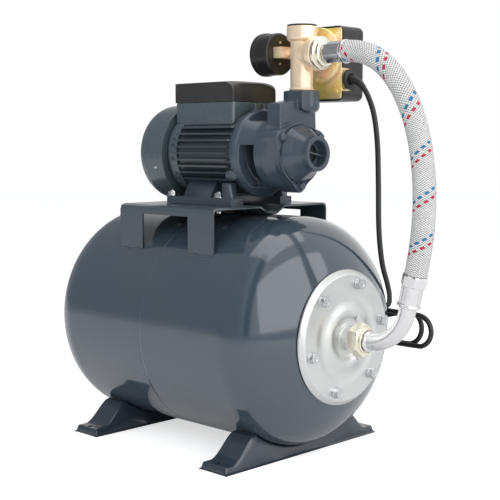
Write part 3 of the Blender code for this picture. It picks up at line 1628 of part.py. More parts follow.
def build_hose(parent, branch):
    start = branch_length + clearance
    nut_end = start + union_length + union_ring_length
    bore = ferrule_bore
    chamfer = 0.0008
    nut = [(bore + 0.001, start), (union_radius - chamfer, start), (union_radius, start + chamfer),
           (union_radius, start + union_length - chamfer), (union_radius - chamfer, start + union_length),
           (union_ring_radius, start + union_length), (union_ring_radius, nut_end - 0.0015),
           (union_ring_radius - 0.0015, nut_end), (bore + 0.001, nut_end)]
    turned("union_nut", nut, pale_brass, branch, medium_round)
    first = nut_end + clearance
    sleeve_end = first + ferrule_length
    crimp = polygon(ferrule_radius * 2, ferrule_flats)
    end = sleeve_end + ferrule_end_length
    ferrule = [(bore, first), (crimp, first), (crimp, sleeve_end), (ferrule_end_radius, sleeve_end),
               (ferrule_end_radius, end - chamfer), (ferrule_end_radius - chamfer, end), (bore, end)]
    turned("hose_ferrule_upper", ferrule, chrome, branch, small_round)

    recess = flange_face - 0.001
    nut_start = flange_face - 0.001 + tank_nut_start
    tube_start = recess + nipple_length + clearance
    nut_rim = nut_start + tank_nut_length
    nut_stop = nut_rim + tank_nut_rim_length
    line = guide("tank_nut_line", (0, 0, tank_axis_height), "X", parent)
    collar = nipple_radius - 0.0005
    collar_end = tube_start + 0.003
    hexagon = polygon(tank_nut_width)
    cap = polygon(tank_nut_width, limit=tank_nut_width * 0.53)
    thread = nipple_radius + clearance
    throat = elbow_radius + clearance
    nut = [(thread, nut_start), (cap, nut_start), (hexagon, nut_start + 0.0012), (hexagon, nut_rim - 0.0012),
           (cap, nut_rim), (tank_nut_rim_radius, nut_rim), (tank_nut_rim_radius, nut_stop - 0.0006),
           (tank_nut_rim_radius - 0.0006, nut_stop), (throat, nut_stop), (throat, collar_end + clearance),
           (thread, collar_end + clearance)]
    turned("tank_nut", nut, pale_brass, line, small_round)

    bend = Vector((nut_stop + elbow_first_run, 0, tank_axis_height))
    path = [Vector((tube_start, 0, tank_axis_height)), bend]
    steps = 7
    for k in range(1, steps + 1):
        angle = elbow_bend_angle * k / steps
        path.append(bend + elbow_bend_radius * Vector((sin(angle), 0, 1 - cos(angle))))
    tilt = Vector((cos(elbow_bend_angle), 0, sin(elbow_bend_angle)))
    path.append(path[-1] + tilt * elbow_last_run)
    elbow = tube_along("hose_elbow", path, elbow_radius, elbow_bore, chrome, parent)
    flare = turned("elbow_flare", [(elbow_bore + 0.0005, tube_start), (collar, tube_start), (collar, collar_end),
                                   (elbow_bore + 0.0005, collar_end)], None, line)
    bead_start = nut_stop + clearance
    bead = turned("elbow_bead", [(elbow_bore + 0.0005, bead_start), (0.0120, bead_start),
                                 (0.0120, bead_start + 0.0015), (0.0100, bead_start + 0.0028),
                                 (elbow_bore + 0.0005, bead_start + 0.0028)], None, line)
    fuse(elbow, flare, bead)

    low_start = path[-1] + tilt * clearance
    lower = guide("lower_ferrule_line", low_start, "Z", parent)
    lower.rotation_euler = (0, pi / 2 - elbow_bend_angle, 0)
    ring_end = lower_ring_length
    sleeve_end = ring_end + lower_sleeve_length
    collar_end = sleeve_end + lower_collar_length
    hexagon = polygon(lower_collar_width)
    crimp = polygon(lower_sleeve_radius * 2, 8)
    ferrule = [(elbow_bore, 0), (lower_ring_radius - chamfer, 0), (lower_ring_radius, chamfer),
               (lower_ring_radius, ring_end), (crimp, ring_end), (crimp, sleeve_end),
               (polygon(lower_collar_width, limit=lower_collar_width * 0.53), sleeve_end),
               (hexagon, sleeve_end + 0.0012), (hexagon, collar_end - 0.0012),
               (polygon(lower_collar_width, limit=lower_collar_width * 0.53), collar_end), (elbow_bore, collar_end)]
    turned("hose_ferrule_lower", ferrule, chrome, lower, small_round)

    top = Vector((riser_place + end + clearance, riser_side, branch_level))
    low = low_start + tilt * (collar_end + clearance)
    out = Vector((hose_top_pull, 0, 0))
    back = tilt * hose_low_pull + Vector((0, hose_low_side_pull, 0))
    stub = 0.004
    first_bend = top + Vector((stub, 0, 0))
    last_bend = low + tilt * stub
    route = [top] + bezier(first_bend, first_bend + out, last_bend + back, last_bend, 18) + [low]
    cord_tube("braided_hose", route, hose_radius, white_braid, parent)
    return max(point.x for point in route) + hose_radius


# Power cord


def build_cord(parent):
    gland_end = riser_place + switch_right
    start = Vector((gland_end + gland_thickness - 0.0030, riser_side + gland_side, branch_level + gland_height))
    hank_middle = (hank_near + hank_far) / 2
    meeting = Vector((cord_hank_meeting, hank_middle, hank_top + clearance))
    above = meeting + Vector((0, 0, cord_radius))
    route = smooth_route([start] + [Vector(p) for p in cord_route] + [above], cord_radius * 6) + [meeting]
    cord_tube("power_cord", route, cord_radius, black_rubber, parent, 2)
    face = guide("hank_face", (0, 0, 0), "Y", parent)
    radius = (hank_top - hank_bottom) / 2
    middle = (hank_top + hank_bottom) / 2
    outline = []
    steps = 10
    for centre, start_angle in ((hank_front - radius, -90), (hank_rear + radius, 90)):
        for k in range(steps + 1):
            angle = radians(start_angle + 180 * k / steps)
            outline.append((centre + radius * cos(angle), -middle + radius * sin(angle)))
    prism("cord_hank", outline, hank_near, hank_far, black_rubber, face)
    plug_line = guide("plug_line", (hank_rear - clearance, hank_far - plug_neck_radius, middle), "-X", parent)
    neck = plug_neck_radius
    corner = 0.002
    end = plug_neck_length + plug_length
    profile = [(0, 0), (neck, 0), (neck + corner / 2, plug_neck_length - 2 * corner),
               (plug_radius - corner, plug_neck_length), (plug_radius, plug_neck_length + 2 * corner),
               (plug_radius, end - corner), (plug_radius - corner, end), (0, end)]
    turned("cord_plug", profile, black_rubber, plug_line, hidden_round)


def main():
    for item in list(bpy.data.objects):
        bpy.data.objects.remove(item, do_unlink=True)
    origin = guide("set_origin", (0, 0, 0))
    build_tank(origin)
    build_foot("foot_front", foot_front_place, origin)
    build_foot("foot_rear", foot_rear_place, origin)
    holes = build_stand(origin)
    line = build_motor(origin, holes)
    build_casing(line, origin)
    build_suction_cover(line)
    branch = build_riser(origin)
    hose_reach = build_hose(origin, branch)
    build_cord(origin)
    origin.location.x = -(hose_reach - tail_tip) / 2


main()
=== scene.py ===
# Booster pump set: finishes, fine shapes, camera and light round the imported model.
# Sizes in the tables are millimetres in the set's own frame: X from the middle of the tank's
# barrel toward its flange, Y across toward the cord, Z up from the floor.

import bpy
import bmesh
from math import acos, atan2, ceil, cos, pi, radians, sin, sqrt
from mathutils import Matrix, Vector


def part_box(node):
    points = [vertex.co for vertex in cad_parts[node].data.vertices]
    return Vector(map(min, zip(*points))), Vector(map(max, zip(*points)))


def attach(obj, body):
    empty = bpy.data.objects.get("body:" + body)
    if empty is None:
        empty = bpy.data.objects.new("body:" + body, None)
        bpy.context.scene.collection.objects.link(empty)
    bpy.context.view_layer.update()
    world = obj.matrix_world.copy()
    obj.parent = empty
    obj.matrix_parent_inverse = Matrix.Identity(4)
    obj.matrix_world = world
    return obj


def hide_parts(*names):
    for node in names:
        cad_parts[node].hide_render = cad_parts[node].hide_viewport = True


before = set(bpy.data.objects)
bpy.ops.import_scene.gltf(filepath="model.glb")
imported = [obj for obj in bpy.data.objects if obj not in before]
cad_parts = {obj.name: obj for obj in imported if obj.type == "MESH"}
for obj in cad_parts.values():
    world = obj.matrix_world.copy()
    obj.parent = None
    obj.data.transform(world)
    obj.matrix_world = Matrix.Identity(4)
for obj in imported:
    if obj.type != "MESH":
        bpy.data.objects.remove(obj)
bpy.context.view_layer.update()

# Millimetres to metres, and where the middle of the tank's barrel is in the model
MM = 0.001
tank_middle = -0.04242

# Heights of the tank's and the shaft's middle lines; the riser's place and what branches off it
TANK_HEIGHT = 146.0
SHAFT_HEIGHT = 354.0
RISER_X, RISER_Y = 112.0, 25.0
BRANCH_HEIGHT = 470.0
GAUGE_HEIGHT = 472.5

AXES = {
    "X": Matrix(((0, 0, 1), (1, 0, 0), (0, 1, 0))),
    "-X": Matrix(((0, 0, -1), (-1, 0, 0), (0, 1, 0))),
    "Y": Matrix(((1, 0, 0), (0, 0, 1), (0, -1, 0))),
    "Z": Matrix.Identity(3),
}


def at(axis, x=0.0, y=0.0, z=0.0):
    """A piece's own frame: millimetres, its local Z along the named axis from this place."""
    return Matrix.Translation(in_metres(x, y, z)) @ AXES[axis].to_4x4() @ Matrix.Scale(MM, 4)


def in_metres(x, y, z):
    return Vector((x * MM + tank_middle, y * MM, z * MM))


# Lines that the pieces are built on
set_frame = at("Z")
tank_line = at("X", 0, 0, TANK_HEIGHT)
shaft_line = at("X", 0, 0, SHAFT_HEIGHT)
port_line = at("Z", RISER_X, RISER_Y, SHAFT_HEIGHT)
riser_line = at("Z", RISER_X, RISER_Y, 427.5)
branch_line = at("X", RISER_X, RISER_Y, BRANCH_HEIGHT)
gauge_line = at("-X", RISER_X, RISER_Y, GAUGE_HEIGHT)
switch_line = at("Y", RISER_X, RISER_Y, BRANCH_HEIGHT)
gland_line = at("X", 143.8, 71, 441.5)
depth_frame = at("Y")


def put(name, data):
    """An object in the scene."""
    item = bpy.data.objects.new(name, data)
    bpy.context.scene.collection.objects.link(item)
    return item


# Camera


def build_camera():
    data = bpy.data.cameras.new("camera")
    data.sensor_width = 36
    data.lens = 78.99
    camera = put("camera", data)
    camera.location = (0.94575, -0.95389, 0.36643)
    camera.rotation_euler = (radians(84.418), 0, radians(44.502))
    bpy.context.scene.camera = camera


build_camera()


# Node trees

SIGNS = {"+": "ADD", "-": "SUBTRACT", "*": "MULTIPLY", "/": "DIVIDE", "<": "LESS_THAN", ">": "GREATER_THAN"}


def feed(socket, value):
    """Gives an input another node's output or a plain value."""
    if isinstance(value, bpy.types.NodeSocket):
        socket.id_data.links.new(value, socket)
    else:
        socket.default_value = value


def add(tree, kind, settings=None, **inputs):
    """A node with its settings and inputs; an input may be a value or another node's output."""
    item = tree.nodes.new("ShaderNode" + kind)
    for key, value in (settings or {}).items():
        setattr(item, key, value)
    for key, value in inputs.items():
        feed(item.inputs[key.replace("_", " ")], value)
    return item


def tree_of(*values):
    """The tree that holds the node outputs among these values."""
    return next(value.id_data for value in values if isinstance(value, bpy.types.NodeSocket))


def maths(first, sign, second=0.0):
    """A maths node: a sign between two values, or the name of another operation."""
    item = add(tree_of(first, second), "Math", {"operation": SIGNS.get(sign, sign)})
    feed(item.inputs[0], first)
    feed(item.inputs[1], second)
    return item.outputs[0]


def tint(share, first, second):
    """One colour mixed into another; each is three numbers or a node's output."""
    item = add(tree_of(share), "Mix", {"data_type": "RGBA"})
    for place, value in ((0, share), (6, first), (7, second)):
        feed(item.inputs[place], (*value, 1) if isinstance(value, tuple) else value)
    return item.outputs[2]


def spread(value, low, high, to_low=0.0, to_high=1.0):
    """A value's range stretched to another range."""
    return add(tree_of(value), "MapRange", Value=value, From_Min=low, From_Max=high,
               To_Min=to_low, To_Max=to_high).outputs[0]


def noise(place, scale, detail=2.0, roughness=0.5):
    return add(tree_of(place), "TexNoise", Vector=place, Scale=scale, Detail=detail,
               Roughness=roughness).outputs["Fac"]


def object_place(tree):
    return add(tree, "TexCoord").outputs["Object"]


def new_group(name, inputs, outputs=("Tone", "Wear", "Height")):
    """An effect's tree with its outputs declared, the place in the object, and its named inputs."""
    tree = bpy.data.node_groups.new(name, "ShaderNodeTree")
    for label, value in inputs.items():
        socket = tree.interface.new_socket(label, in_out="INPUT", socket_type="NodeSocketFloat")
        socket.default_value = value
    for label in outputs:
        kind = "NodeSocketColor" if label == "Colour" else "NodeSocketFloat"
        tree.interface.new_socket(label, in_out="OUTPUT", socket_type=kind)
    return tree, object_place(tree), tree.nodes.new("NodeGroupInput").outputs


def close_group(tree, *results):
    """Joins an effect's results to its outputs, in their order."""
    for socket, result in zip(tree.nodes.new("NodeGroupOutput").inputs, results):
        feed(socket, result)
    return tree


def paint_effect():
    """Sprayed paint: fine orange peel, slow cloudy tone and a little dust in the roughness."""
    tree, place, given = new_group("sprayed_paint", {"Peel Scale": 500.0, "Cloud Scale": 9.0})
    cloud = spread(noise(place, given["Cloud Scale"], 3.0), 0.3, 0.7)
    dust = spread(noise(place, 160.0, 6.0, 0.7), 0.45, 0.8)
    return close_group(tree, cloud, dust, noise(place, given["Peel Scale"], 1.0))


def cast_effect():
    """The sand-cast skin under the paint: lumps, fine grain and a few pits."""
    tree, place, given = new_group("cast_skin", {"Grain Scale": 700.0, "Lump Scale": 90.0})
    grain = noise(place, given["Grain Scale"], 4.0, 0.65)
    lumps = noise(place, given["Lump Scale"])
    pits = spread(add(tree, "TexVoronoi", Vector=place, Scale=260.0).outputs["Distance"], 0.0, 0.12)
    height = maths(maths(grain, "*", 0.35), "+", maths(lumps, "*", 0.9))
    height = maths(height, "+", maths(pits, "*", 0.12))
    # The second output, the fine grain, sets the roughness and where cast_painted paints its highlight.
    return close_group(tree, spread(lumps, 0.3, 0.7), spread(grain, 0.35, 0.7), height)


def metal_effect():
    """Bare or plated metal: spangle, drawn scratches and finger-dulled patches."""
    tree, place, given = new_group("plated_metal", {"Spangle Scale": 220.0, "Scratch Scale": 900.0})
    spangle = add(tree, "TexVoronoi", Vector=place, Scale=given["Spangle Scale"]).outputs["Color"]
    shade = add(tree, "SeparateColor", Color=spangle).outputs[0]
    drawn_out = add(tree, "Mapping", Vector=place, Scale=(1.0, 1.0, 0.06)).outputs[0]
    patches = spread(noise(place, 60.0, 4.0, 0.6), 0.35, 0.7)
    return close_group(tree, shade, patches, noise(drawn_out, given["Scratch Scale"], 3.0, 0.7))


def moulded_effect():
    """Moulded plastic or rubber: fine spark-eroded grain and a faint flow pattern."""
    tree, place, given = new_group("moulded_skin", {"Grain Scale": 1400.0})
    grain = noise(place, given["Grain Scale"], 2.0, 0.6)
    return close_group(tree, spread(noise(place, 25.0), 0.3, 0.7), spread(grain, 0.3, 0.7), grain)


def braid_effect():
    """A braided sleeve with two dashed tracers, from the turn and length coordinates of the hose."""
    tree, place, given = new_group("braided_sleeve", {"Strands": 20.0, "Tracers": 1.0},
                                   ("Colour", "Wear", "Height"))
    lay = add(tree, "UVMap", {"uv_map": "lay"}).outputs[0]
    turn, along = add(tree, "SeparateXYZ", Vector=lay).outputs[:2]
    ways = maths(turn, "+", along), maths(turn, "-", along)
    cells = [maths(way, "*", given["Strands"]) for way in ways]
    order = maths(maths(maths(cells[0], "FLOOR"), "+", maths(cells[1], "FLOOR")), "FLOORED_MODULO", 2.0)
    strands = []
    for cell, under, over in ((cells[0], 0.55, 1.0), (cells[1], 1.0, 0.55)):
        arch = maths(maths(maths(cell, "FRACT"), "*", pi), "SINE")
        strands.append(maths(arch, "*", spread(order, 0.0, 1.0, under, over)))
    height = maths(strands[0], "MAXIMUM", strands[1])
    gap = maths(1.0, "-", spread(height, 0.46, 0.70))
    soil = spread(noise(place, 70.0, 4.0, 0.6), 0.3, 0.75)
    cloth = tint(gap, tint(soil, (0.86, 0.86, 0.84), (0.74, 0.74, 0.72)), (0.20, 0.20, 0.20))
    lap = maths(maths(maths(ways[1], "*", given["Tracers"]), "+", 10.0), "FRACT")
    dash = maths(maths(maths(ways[0], "*", 5.0), "FRACT"), "<", 0.56)
    for centre, colour in ((0.64, (0.0, 0.17, 0.36)), (0.46, (0.48, 0.015, 0.07))):
        stripe = maths(maths(maths(lap, "-", centre), "ABSOLUTE"), "<", 0.036)
        cloth = tint(maths(stripe, "*", dash), cloth, colour)
    return close_group(tree, cloth, gap, height)


EFFECTS = {
    "paint": paint_effect(),
    "cast": cast_effect(),
    "metal": metal_effect(),
    "moulded": moulded_effect(),
    "braid": braid_effect(),
}


# Finishes


def new_material(name, settings):
    material = bpy.data.materials.new(name)
    material.use_nodes = True
    surface = material.node_tree.nodes["Principled BSDF"].inputs
    for key, value in settings.items():
        surface[key].default_value = value
    return material, material.node_tree, surface


def new_finish(name, effect, colours, roughness, wear, depth, settings, share=None, **scales):
    """A material round an effect, its base colour's input and the effect's outputs.

    The effect's tone mixes the two colours, its wear adds to the roughness, and its height is the
    bump, with its depth in millimetres."""
    material, tree, surface = new_material(name, settings)
    group = tree.nodes.new("ShaderNodeGroup")
    group.node_tree = EFFECTS[effect]
    for key, value in scales.items():
        group.inputs[key.replace("_", " ")].default_value = value
    skin = group.outputs
    if colours:
        tone = maths(skin["Tone"], "*", share) if share else skin["Tone"]
        feed(surface["Base Color"], tint(tone, *colours))
    feed(surface["Roughness"],
         spread(skin["Wear"], 0.0, 1.0, roughness, roughness + wear) if wear else roughness)
    if depth:
        bump = add(tree, "Bump", Height=skin["Height"], Strength=1.0, Distance=depth * MM)
        feed(surface["Normal"], bump.outputs[0])
    return material, surface["Base Color"], skin


def painted(name, colour, shade, roughness, peel, coat):
    settings = {"Coat Weight": coat, "Coat Roughness": 0.05}
    return new_finish(name, "paint", (colour, shade), roughness, 0.06, peel, settings)[0]


def cast_painted(name, colour, shade, roughness, depth):
    """Paint on a cast skin, with a paler painted highlight where the grain stands out."""
    settings = {"Coat Weight": 0.25, "Coat Roughness": 0.18}
    material, base, skin = new_finish(name, "cast", None, roughness, 0.12, depth, settings)
    grain_highlight = tuple(part * 1.5 for part in colour)
    # Painted highlight: the colour lifted by half, mixed in by a quarter of the grain.
    feed(base, tint(maths(skin["Wear"], "*", 0.25), tint(skin["Tone"], colour, shade), grain_highlight))
    return material


def plated(name, colour, shade, roughness, spangle=0.35, depth=0.01, spangle_scale=220.0, metallic=1.0):
    return new_finish(name, "metal", (colour, shade), roughness, 0.12, depth, {"Metallic": metallic}, spangle,
                      Spangle_Scale=spangle_scale)[0]


def moulded(name, colour, shade, roughness, depth, grain_scale=1400.0):
    return new_finish(name, "moulded", (colour, shade), roughness, 0.1, depth, {}, Grain_Scale=grain_scale)[0]


def yellow_passivated():
    """Yellow zinc: the colour drifts between straw and pink over the sheet."""
    material, base, _ = new_finish("yellow_passivated_zinc", "metal", None, 0.26, 0.10, 0.006,
                                   {"Metallic": 0.45}, Spangle_Scale=90.0)
    tree = material.node_tree
    ramp = add(tree, "ValToRGB", Fac=spread(noise(object_place(tree), 22.0, 1.5), 0.34, 0.66))
    stops = ramp.color_ramp.elements
    stops[0].color = (0.90, 0.74, 0.20, 1)
    stops[1].color = (1.0, 0.76, 0.58, 1)
    for share, colour in ((0.3, (0.97, 0.76, 0.28, 1)), (0.6, (1.0, 0.84, 0.50, 1)),
                          (0.85, (1.0, 0.74, 0.50, 1))):
        stops.new(share).color = colour
    feed(base, ramp.outputs[0])
    return material


def braid_finish():
    material, base, sleeve = new_finish("braided_sleeve", "braid", None, 0.38, 0.32, 0.5, {})
    feed(base, sleeve["Colour"])
    return material


def dial_finish():
    """The dial: white enamel, with a scale's ticks drawn from the turn round the pivot."""
    material, base, skin = new_finish("printed_dial", "moulded", None, 0.45, 0, 0, {})
    tree = material.node_tree
    place = add(tree, "SeparateXYZ", Vector=object_place(tree)).outputs
    across = maths(place[1], "-", RISER_Y * MM)
    up = maths(place[2], "-", GAUGE_HEIGHT * MM)
    reach = maths(maths(maths(across, "*", across), "+", maths(up, "*", up)), "SQRT")
    turn = maths(maths(across, "ARCTAN2", up), "/", 2 * pi)
    on_scale = maths(maths(turn, "ABSOLUTE"), "<", 0.376)
    tick = maths(maths(maths(maths(turn, "*", 40.0), "FRACT"), "-", 0.5), "ABSOLUTE")
    band = maths(maths(reach, ">", 17.5 * MM), "*", maths(reach, "<", 20.5 * MM))
    mark = maths(maths(maths(tick, ">", 0.42), "*", band), "*", on_scale)
    paper = tint(skin["Tone"], (0.82, 0.82, 0.80), (0.76, 0.76, 0.74))
    feed(base, tint(mark, paper, (0.02, 0.02, 0.02)))
    return material


def lens_finish():
    settings = {"Base Color": (0.95, 0.97, 0.97, 1), "Transmission Weight": 1.0, "IOR": 1.49}
    return new_finish("clear_lens", "moulded", None, 0.04, 0, 0.002, settings)[0]


# Each slot and its finishes: two colours, the roughness and what its kind adds
FINISHES = {
    "tank_enamel": {
        "tank_paint": painted("gloss_tank_paint", (0.043, 0.064, 0.088), (0.048, 0.068, 0.086), 0.13, 0.010, 0.8),
        "foot_paint": painted("foot_paint", (0.026, 0.040, 0.058), (0.031, 0.045, 0.060), 0.20, 0.02, 0.5),
    },
    "pump_enamel": {
        "sheet_paint": painted("stand_paint", (0.052, 0.076, 0.090), (0.058, 0.080, 0.090), 0.24, 0.02, 0.4),
        "cast_paint": cast_painted("cast_pump_paint", (0.040, 0.058, 0.078), (0.049, 0.067, 0.087), 0.28, 0.10),
        "motor_paint": painted("motor_paint", (0.060, 0.088, 0.100), (0.066, 0.092, 0.102), 0.26, 0.03, 0.4),
        # A darker copy of the motor paint: painted shade, for the finned frame and the end shield's screws.
        "motor_paint_painted_shade": painted("motor_paint_painted_shade", (0.034, 0.050, 0.062), (0.038, 0.053, 0.064), 0.28, 0.03, 0.3),
    },
    "dark_plastic": {
        "lid_plastic": moulded("lid_plastic", (0.030, 0.028, 0.028), (0.036, 0.033, 0.032), 0.24, 0.02),
        "black_plastic": moulded("black_plastic", (0.015, 0.014, 0.014), (0.021, 0.020, 0.020), 0.26, 0.02),
    },
    "black_rubber": {
        "rubber": moulded("black_rubber", (0.014, 0.014, 0.014), (0.020, 0.020, 0.020), 0.38, 0.03, 900.0),
    },
    "galvanised": {
        "galvanised": plated("galvanised_sheet", (0.66, 0.67, 0.66), (0.635, 0.65, 0.64), 0.34, 0.15, 0.004, 60.0),
    },
    "zinc": {"zinc": plated("bright_zinc", (0.60, 0.62, 0.63), (0.54, 0.56, 0.57), 0.18, 0.35, 0.005)},
    "chrome": {"chrome": plated("chrome", (0.74, 0.73, 0.74), (0.68, 0.67, 0.68), 0.11, 0.3, 0.003)},
    "brass": {"brass": plated("cast_brass", (1.0, 0.82, 0.60), (0.97, 0.76, 0.53), 0.40, 0.4, 0.02, 300.0, 0.65)},
    "pale_brass": {"pale_brass": plated("nickelled_brass", (0.88, 0.83, 0.70), (0.82, 0.75, 0.60), 0.20, 0.3, 0.008)},
    "yellow_zinc": {"yellow_zinc": yellow_passivated()},
    "steel": {"steel": plated("turned_steel", (0.50, 0.50, 0.51), (0.44, 0.44, 0.45), 0.28)},
    "winding": {"winding": plated("varnished_winding", (0.50, 0.22, 0.10), (0.42, 0.18, 0.08), 0.40)},
    "white_braid": {"braid": braid_finish()},
    "dial": {"dial": dial_finish()},
    "lens": {"lens": lens_finish()},
}
MATERIALS = {finish: material for finishes in FINISHES.values() for finish, material in finishes.items()}


# Shapes


def as_object(name, bm):
    bmesh.ops.recalc_face_normals(bm, faces=bm.faces)
    mesh = bpy.data.meshes.new(name)
    bm.to_mesh(mesh)
    bm.free()
    return put(name, mesh)


def settle(name, bm, finish, stands_for=(), sharp=40, weighted=True):
    """A finished piece from a bmesh: material, shading, body and the nodes that it stands for."""
    bmesh.ops.remove_doubles(bm, verts=bm.verts, dist=1e-7)
    piece = as_object(name, bm)
    piece.data.shade_smooth()
    piece.data.set_sharp_from_angle(angle=radians(sharp))
    piece.data.materials.append(MATERIALS[finish])
    if weighted:
        shading = piece.modifiers.new("flat_faces_stay_flat", "WEIGHTED_NORMAL")
        shading.keep_sharp = True
    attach(piece, "set")
    if stands_for:
        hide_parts(*([stands_for] if isinstance(stands_for, str) else stands_for))
    return piece


def soften(points, roundings, steps=3):
    """An open line with each inner corner rounded; every corner gives as many points."""
    line = [points[0]]
    for a, b, c, rounding in zip(points, points[1:], points[2:], roundings[1:]):
        if rounding <= 0:
            line.append(b)
            continue
        before, after = a - b, c - b
        reach = min(rounding, before.length * 0.48, after.length * 0.48)
        start = b + before.normalized() * reach
        end = b + after.normalized() * reach
        for k in range(steps + 1):
            t = k / steps
            line.append(start * (1 - t) ** 2 + b * 2 * t * (1 - t) + end * t * t)
    line.append(points[-1])
    return line


def bridge(bm, low, high):
    count = max(len(low), len(high))
    for k in range(count):
        n = (k + 1) % count
        corners = [low[k % len(low)], low[n % len(low)], high[n % len(high)], high[k % len(high)]]
        if len(low) == 1:
            corners.pop(1)
        elif len(high) == 1:
            corners.pop(2)
        bm.faces.new(corners)


def lathe(bm, profile, where, sides=72, rounding=0.5, closed=False):
    """Turns a profile of (radius, height) or (radius, height, corner); a radius may follow the angle."""
    columns = []
    for k in range(sides):
        angle = 2 * pi * k / sides
        line = []
        for entry in profile:
            radius = entry[0](angle) if callable(entry[0]) else entry[0]
            line.append(Vector((radius, entry[1])))
        roundings = [entry[2] if len(entry) > 2 else rounding for entry in profile]
        columns.append([(p.x * cos(angle), p.x * sin(angle), p.y) for p in soften(line, roundings)])
    rings = []
    for level in range(len(columns[0])):
        first = columns[0][level]
        if abs(first[0]) < 1e-9 and abs(first[1]) < 1e-9:
            rings.append([bm.verts.new(where @ Vector((0, 0, first[2])))])
        else:
            rings.append([bm.verts.new(where @ Vector(column[level])) for column in columns])
    for low, high in zip(rings, rings[1:]):
        bridge(bm, low, high)
    if closed:
        bridge(bm, rings[-1], rings[0])
    return rings


def turned(name, profile, where, finish, stands_for=(), sides=72, rounding=0.5, closed=False, sharp=40):
    bm = bmesh.new()
    lathe(bm, profile, where, sides, rounding, closed)
    return settle(name, bm, finish, stands_for, sharp)


def bevel_sharp(bm, edges, sharp, width, segments):
    """Rounds the edges that turn by more than the sharp angle."""
    found = [item for item in edges if len(item.link_faces) == 2 and item.calc_face_angle() > radians(sharp)]
    bmesh.ops.bevel(bm, geom=found, offset=width * MM, segments=segments, profile=0.5, affect="EDGES",
                    clamp_overlap=True)


def slab(bm, outline, low, high, where, edge=0.0, segments=2):
    """A flat outline in local XY, extruded along local Z, with its sharp edges rounded."""
    base, top = ([bm.verts.new(where @ Vector((x, y, z))) for x, y in outline] for z in (low, high))
    faces = [bm.faces.new(base), bm.faces.new(top)]
    first = set(bm.faces)
    bridge(bm, base, top)
    faces += [face for face in bm.faces if face not in first]
    if edge:
        bmesh.ops.recalc_face_normals(bm, faces=faces)
        bevel_sharp(bm, {item: None for face in faces for item in face.edges}, 35, edge, segments)


def rounded_outline(left, right, low, high, corner, steps=8):
    points = []
    centres = ((right - corner, low + corner, -90), (right - corner, high - corner, 0),
               (left + corner, high - corner, 90), (left + corner, low + corner, 180))
    for x, y, start in centres:
        for k in range(steps + 1):
            angle = radians(start + 90 * k / steps)
            points.append((x + corner * cos(angle), y + corner * sin(angle)))
    return points


def block(bm, x, y, z, where=set_frame, edge=0.0):
    """A block given by its ranges."""
    outline = [(x[0], y[0]), (x[1], y[0]), (x[1], y[1]), (x[0], y[1])]
    slab(bm, outline, z[0], z[1], where, edge)


def tool(name, build):
    """A shape that is cut from or joined to a piece and then deleted."""
    bm = bmesh.new()
    build(bm)
    return as_object(name, bm)


def solid(name, profile, where, sides=72, rounding=0.5):
    return tool(name, lambda bm: lathe(bm, profile, where, sides, rounding))


def work(piece, joins=(), cuts=(), solver="MANIFOLD", then=None):
    """Joins and cuts tools into the piece, runs any last modifiers, and keeps the result as its mesh."""
    shading = piece.modifiers.get("flat_faces_stay_flat")
    if shading:
        piece.modifiers.remove(shading)
    for operation, shapes in (("UNION", joins), ("DIFFERENCE", cuts)):
        for shape in shapes:
            step = piece.modifiers.new(shape.name, "BOOLEAN")
            step.operation = operation
            step.solver = solver
            step.object = shape
    if then:
        then(piece)
    bpy.context.view_layer.update()
    result = bpy.data.meshes.new_from_object(piece.evaluated_get(bpy.context.evaluated_depsgraph_get()))
    piece.modifiers.clear()
    piece.data = result
    for shape in (*joins, *cuts):
        bpy.data.objects.remove(shape, do_unlink=True)


def casting_skin(voxel, keep):
    """Rounds every corner of a casting as its sand mould does."""
    def steps(piece):
        skin = piece.modifiers.new("one_skin", "REMESH")
        skin.mode = "VOXEL"
        skin.voxel_size = voxel * MM
        worn = piece.modifiers.new("rounded_corners", "SMOOTH")
        worn.factor = 0.5
        worn.iterations = 4
        fewer = piece.modifiers.new("fewer_faces", "DECIMATE")
        fewer.ratio = keep
    return steps


def polygon(width, limit=1000.0, turn=0.0, sides=6):
    """The radius of a regular polygon with this width across its flats, cut to a limit."""
    half = pi / sides

    def radius(angle):
        off = (angle + half + turn) % (2 * half) - half
        return min(width / 2 / cos(off), limit)
    return radius


def hull_radius(angle, core, lobe, place):
    """The radius of a belt drawn round a core circle and one lobe's circle at this place."""
    off = abs((angle + pi) % (2 * pi) - pi)
    tangent = acos((core - lobe) / place)
    if off >= tangent:
        return core
    start = atan2(lobe * sin(tangent), place + lobe * cos(tangent))
    if off >= start:
        return core / cos(off - tangent)
    return place * cos(off) + sqrt(max(0.0, lobe ** 2 - (place * sin(off)) ** 2))


COVER_BOLT_CIRCLE = 38.0


def three_lobes(shrink=0.0):
    """The outline that the casting and its cover share around their three bolts."""
    def radius(angle):
        return max(hull_radius(angle - radians(30 + 120 * k), 34.5 - shrink, 7.8 - shrink, COVER_BOLT_CIRCLE)
                   for k in range(3))
    return radius


def at_least(size, other, share=1.0):
    """The larger of a plain radius and an outline that is drawn this far out of it."""
    def radius(angle):
        return max(size, size + (other(angle) - size) * share)
    return radius


def tube(bm, path, radius, sides):
    """A round tube along points in metres, closed at both ends. Radius may follow the point's number."""
    side = Vector((0, 1, 0))
    rings = []
    for k, point in enumerate(path):
        ahead = (path[min(k + 1, len(path) - 1)] - path[max(k - 1, 0)]).normalized()
        side = (side - ahead * side.dot(ahead)).normalized()
        up = ahead.cross(side)
        size = (radius(k) if callable(radius) else radius) * MM
        rings.append([bm.verts.new(point + (side * cos(2 * pi * n / sides) + up * sin(2 * pi * n / sides)) * size)
                      for n in range(sides)])
    for low, high in zip(rings, rings[1:]):
        bridge(bm, low, high)
    bm.faces.new(rings[0])
    bm.faces.new(rings[-1])
    return rings


def bezier(start, start_handle, end_handle, end, count):
    points = []
    for k in range(count + 1):
        t = k / count
        points.append(start * (1 - t) ** 3 + start_handle * 3 * t * (1 - t) ** 2
                      + end_handle * 3 * t * t * (1 - t) + end * t ** 3)
    return points


def length_of(points):
    return sum((b - a).length for a, b in zip(points, points[1:]))


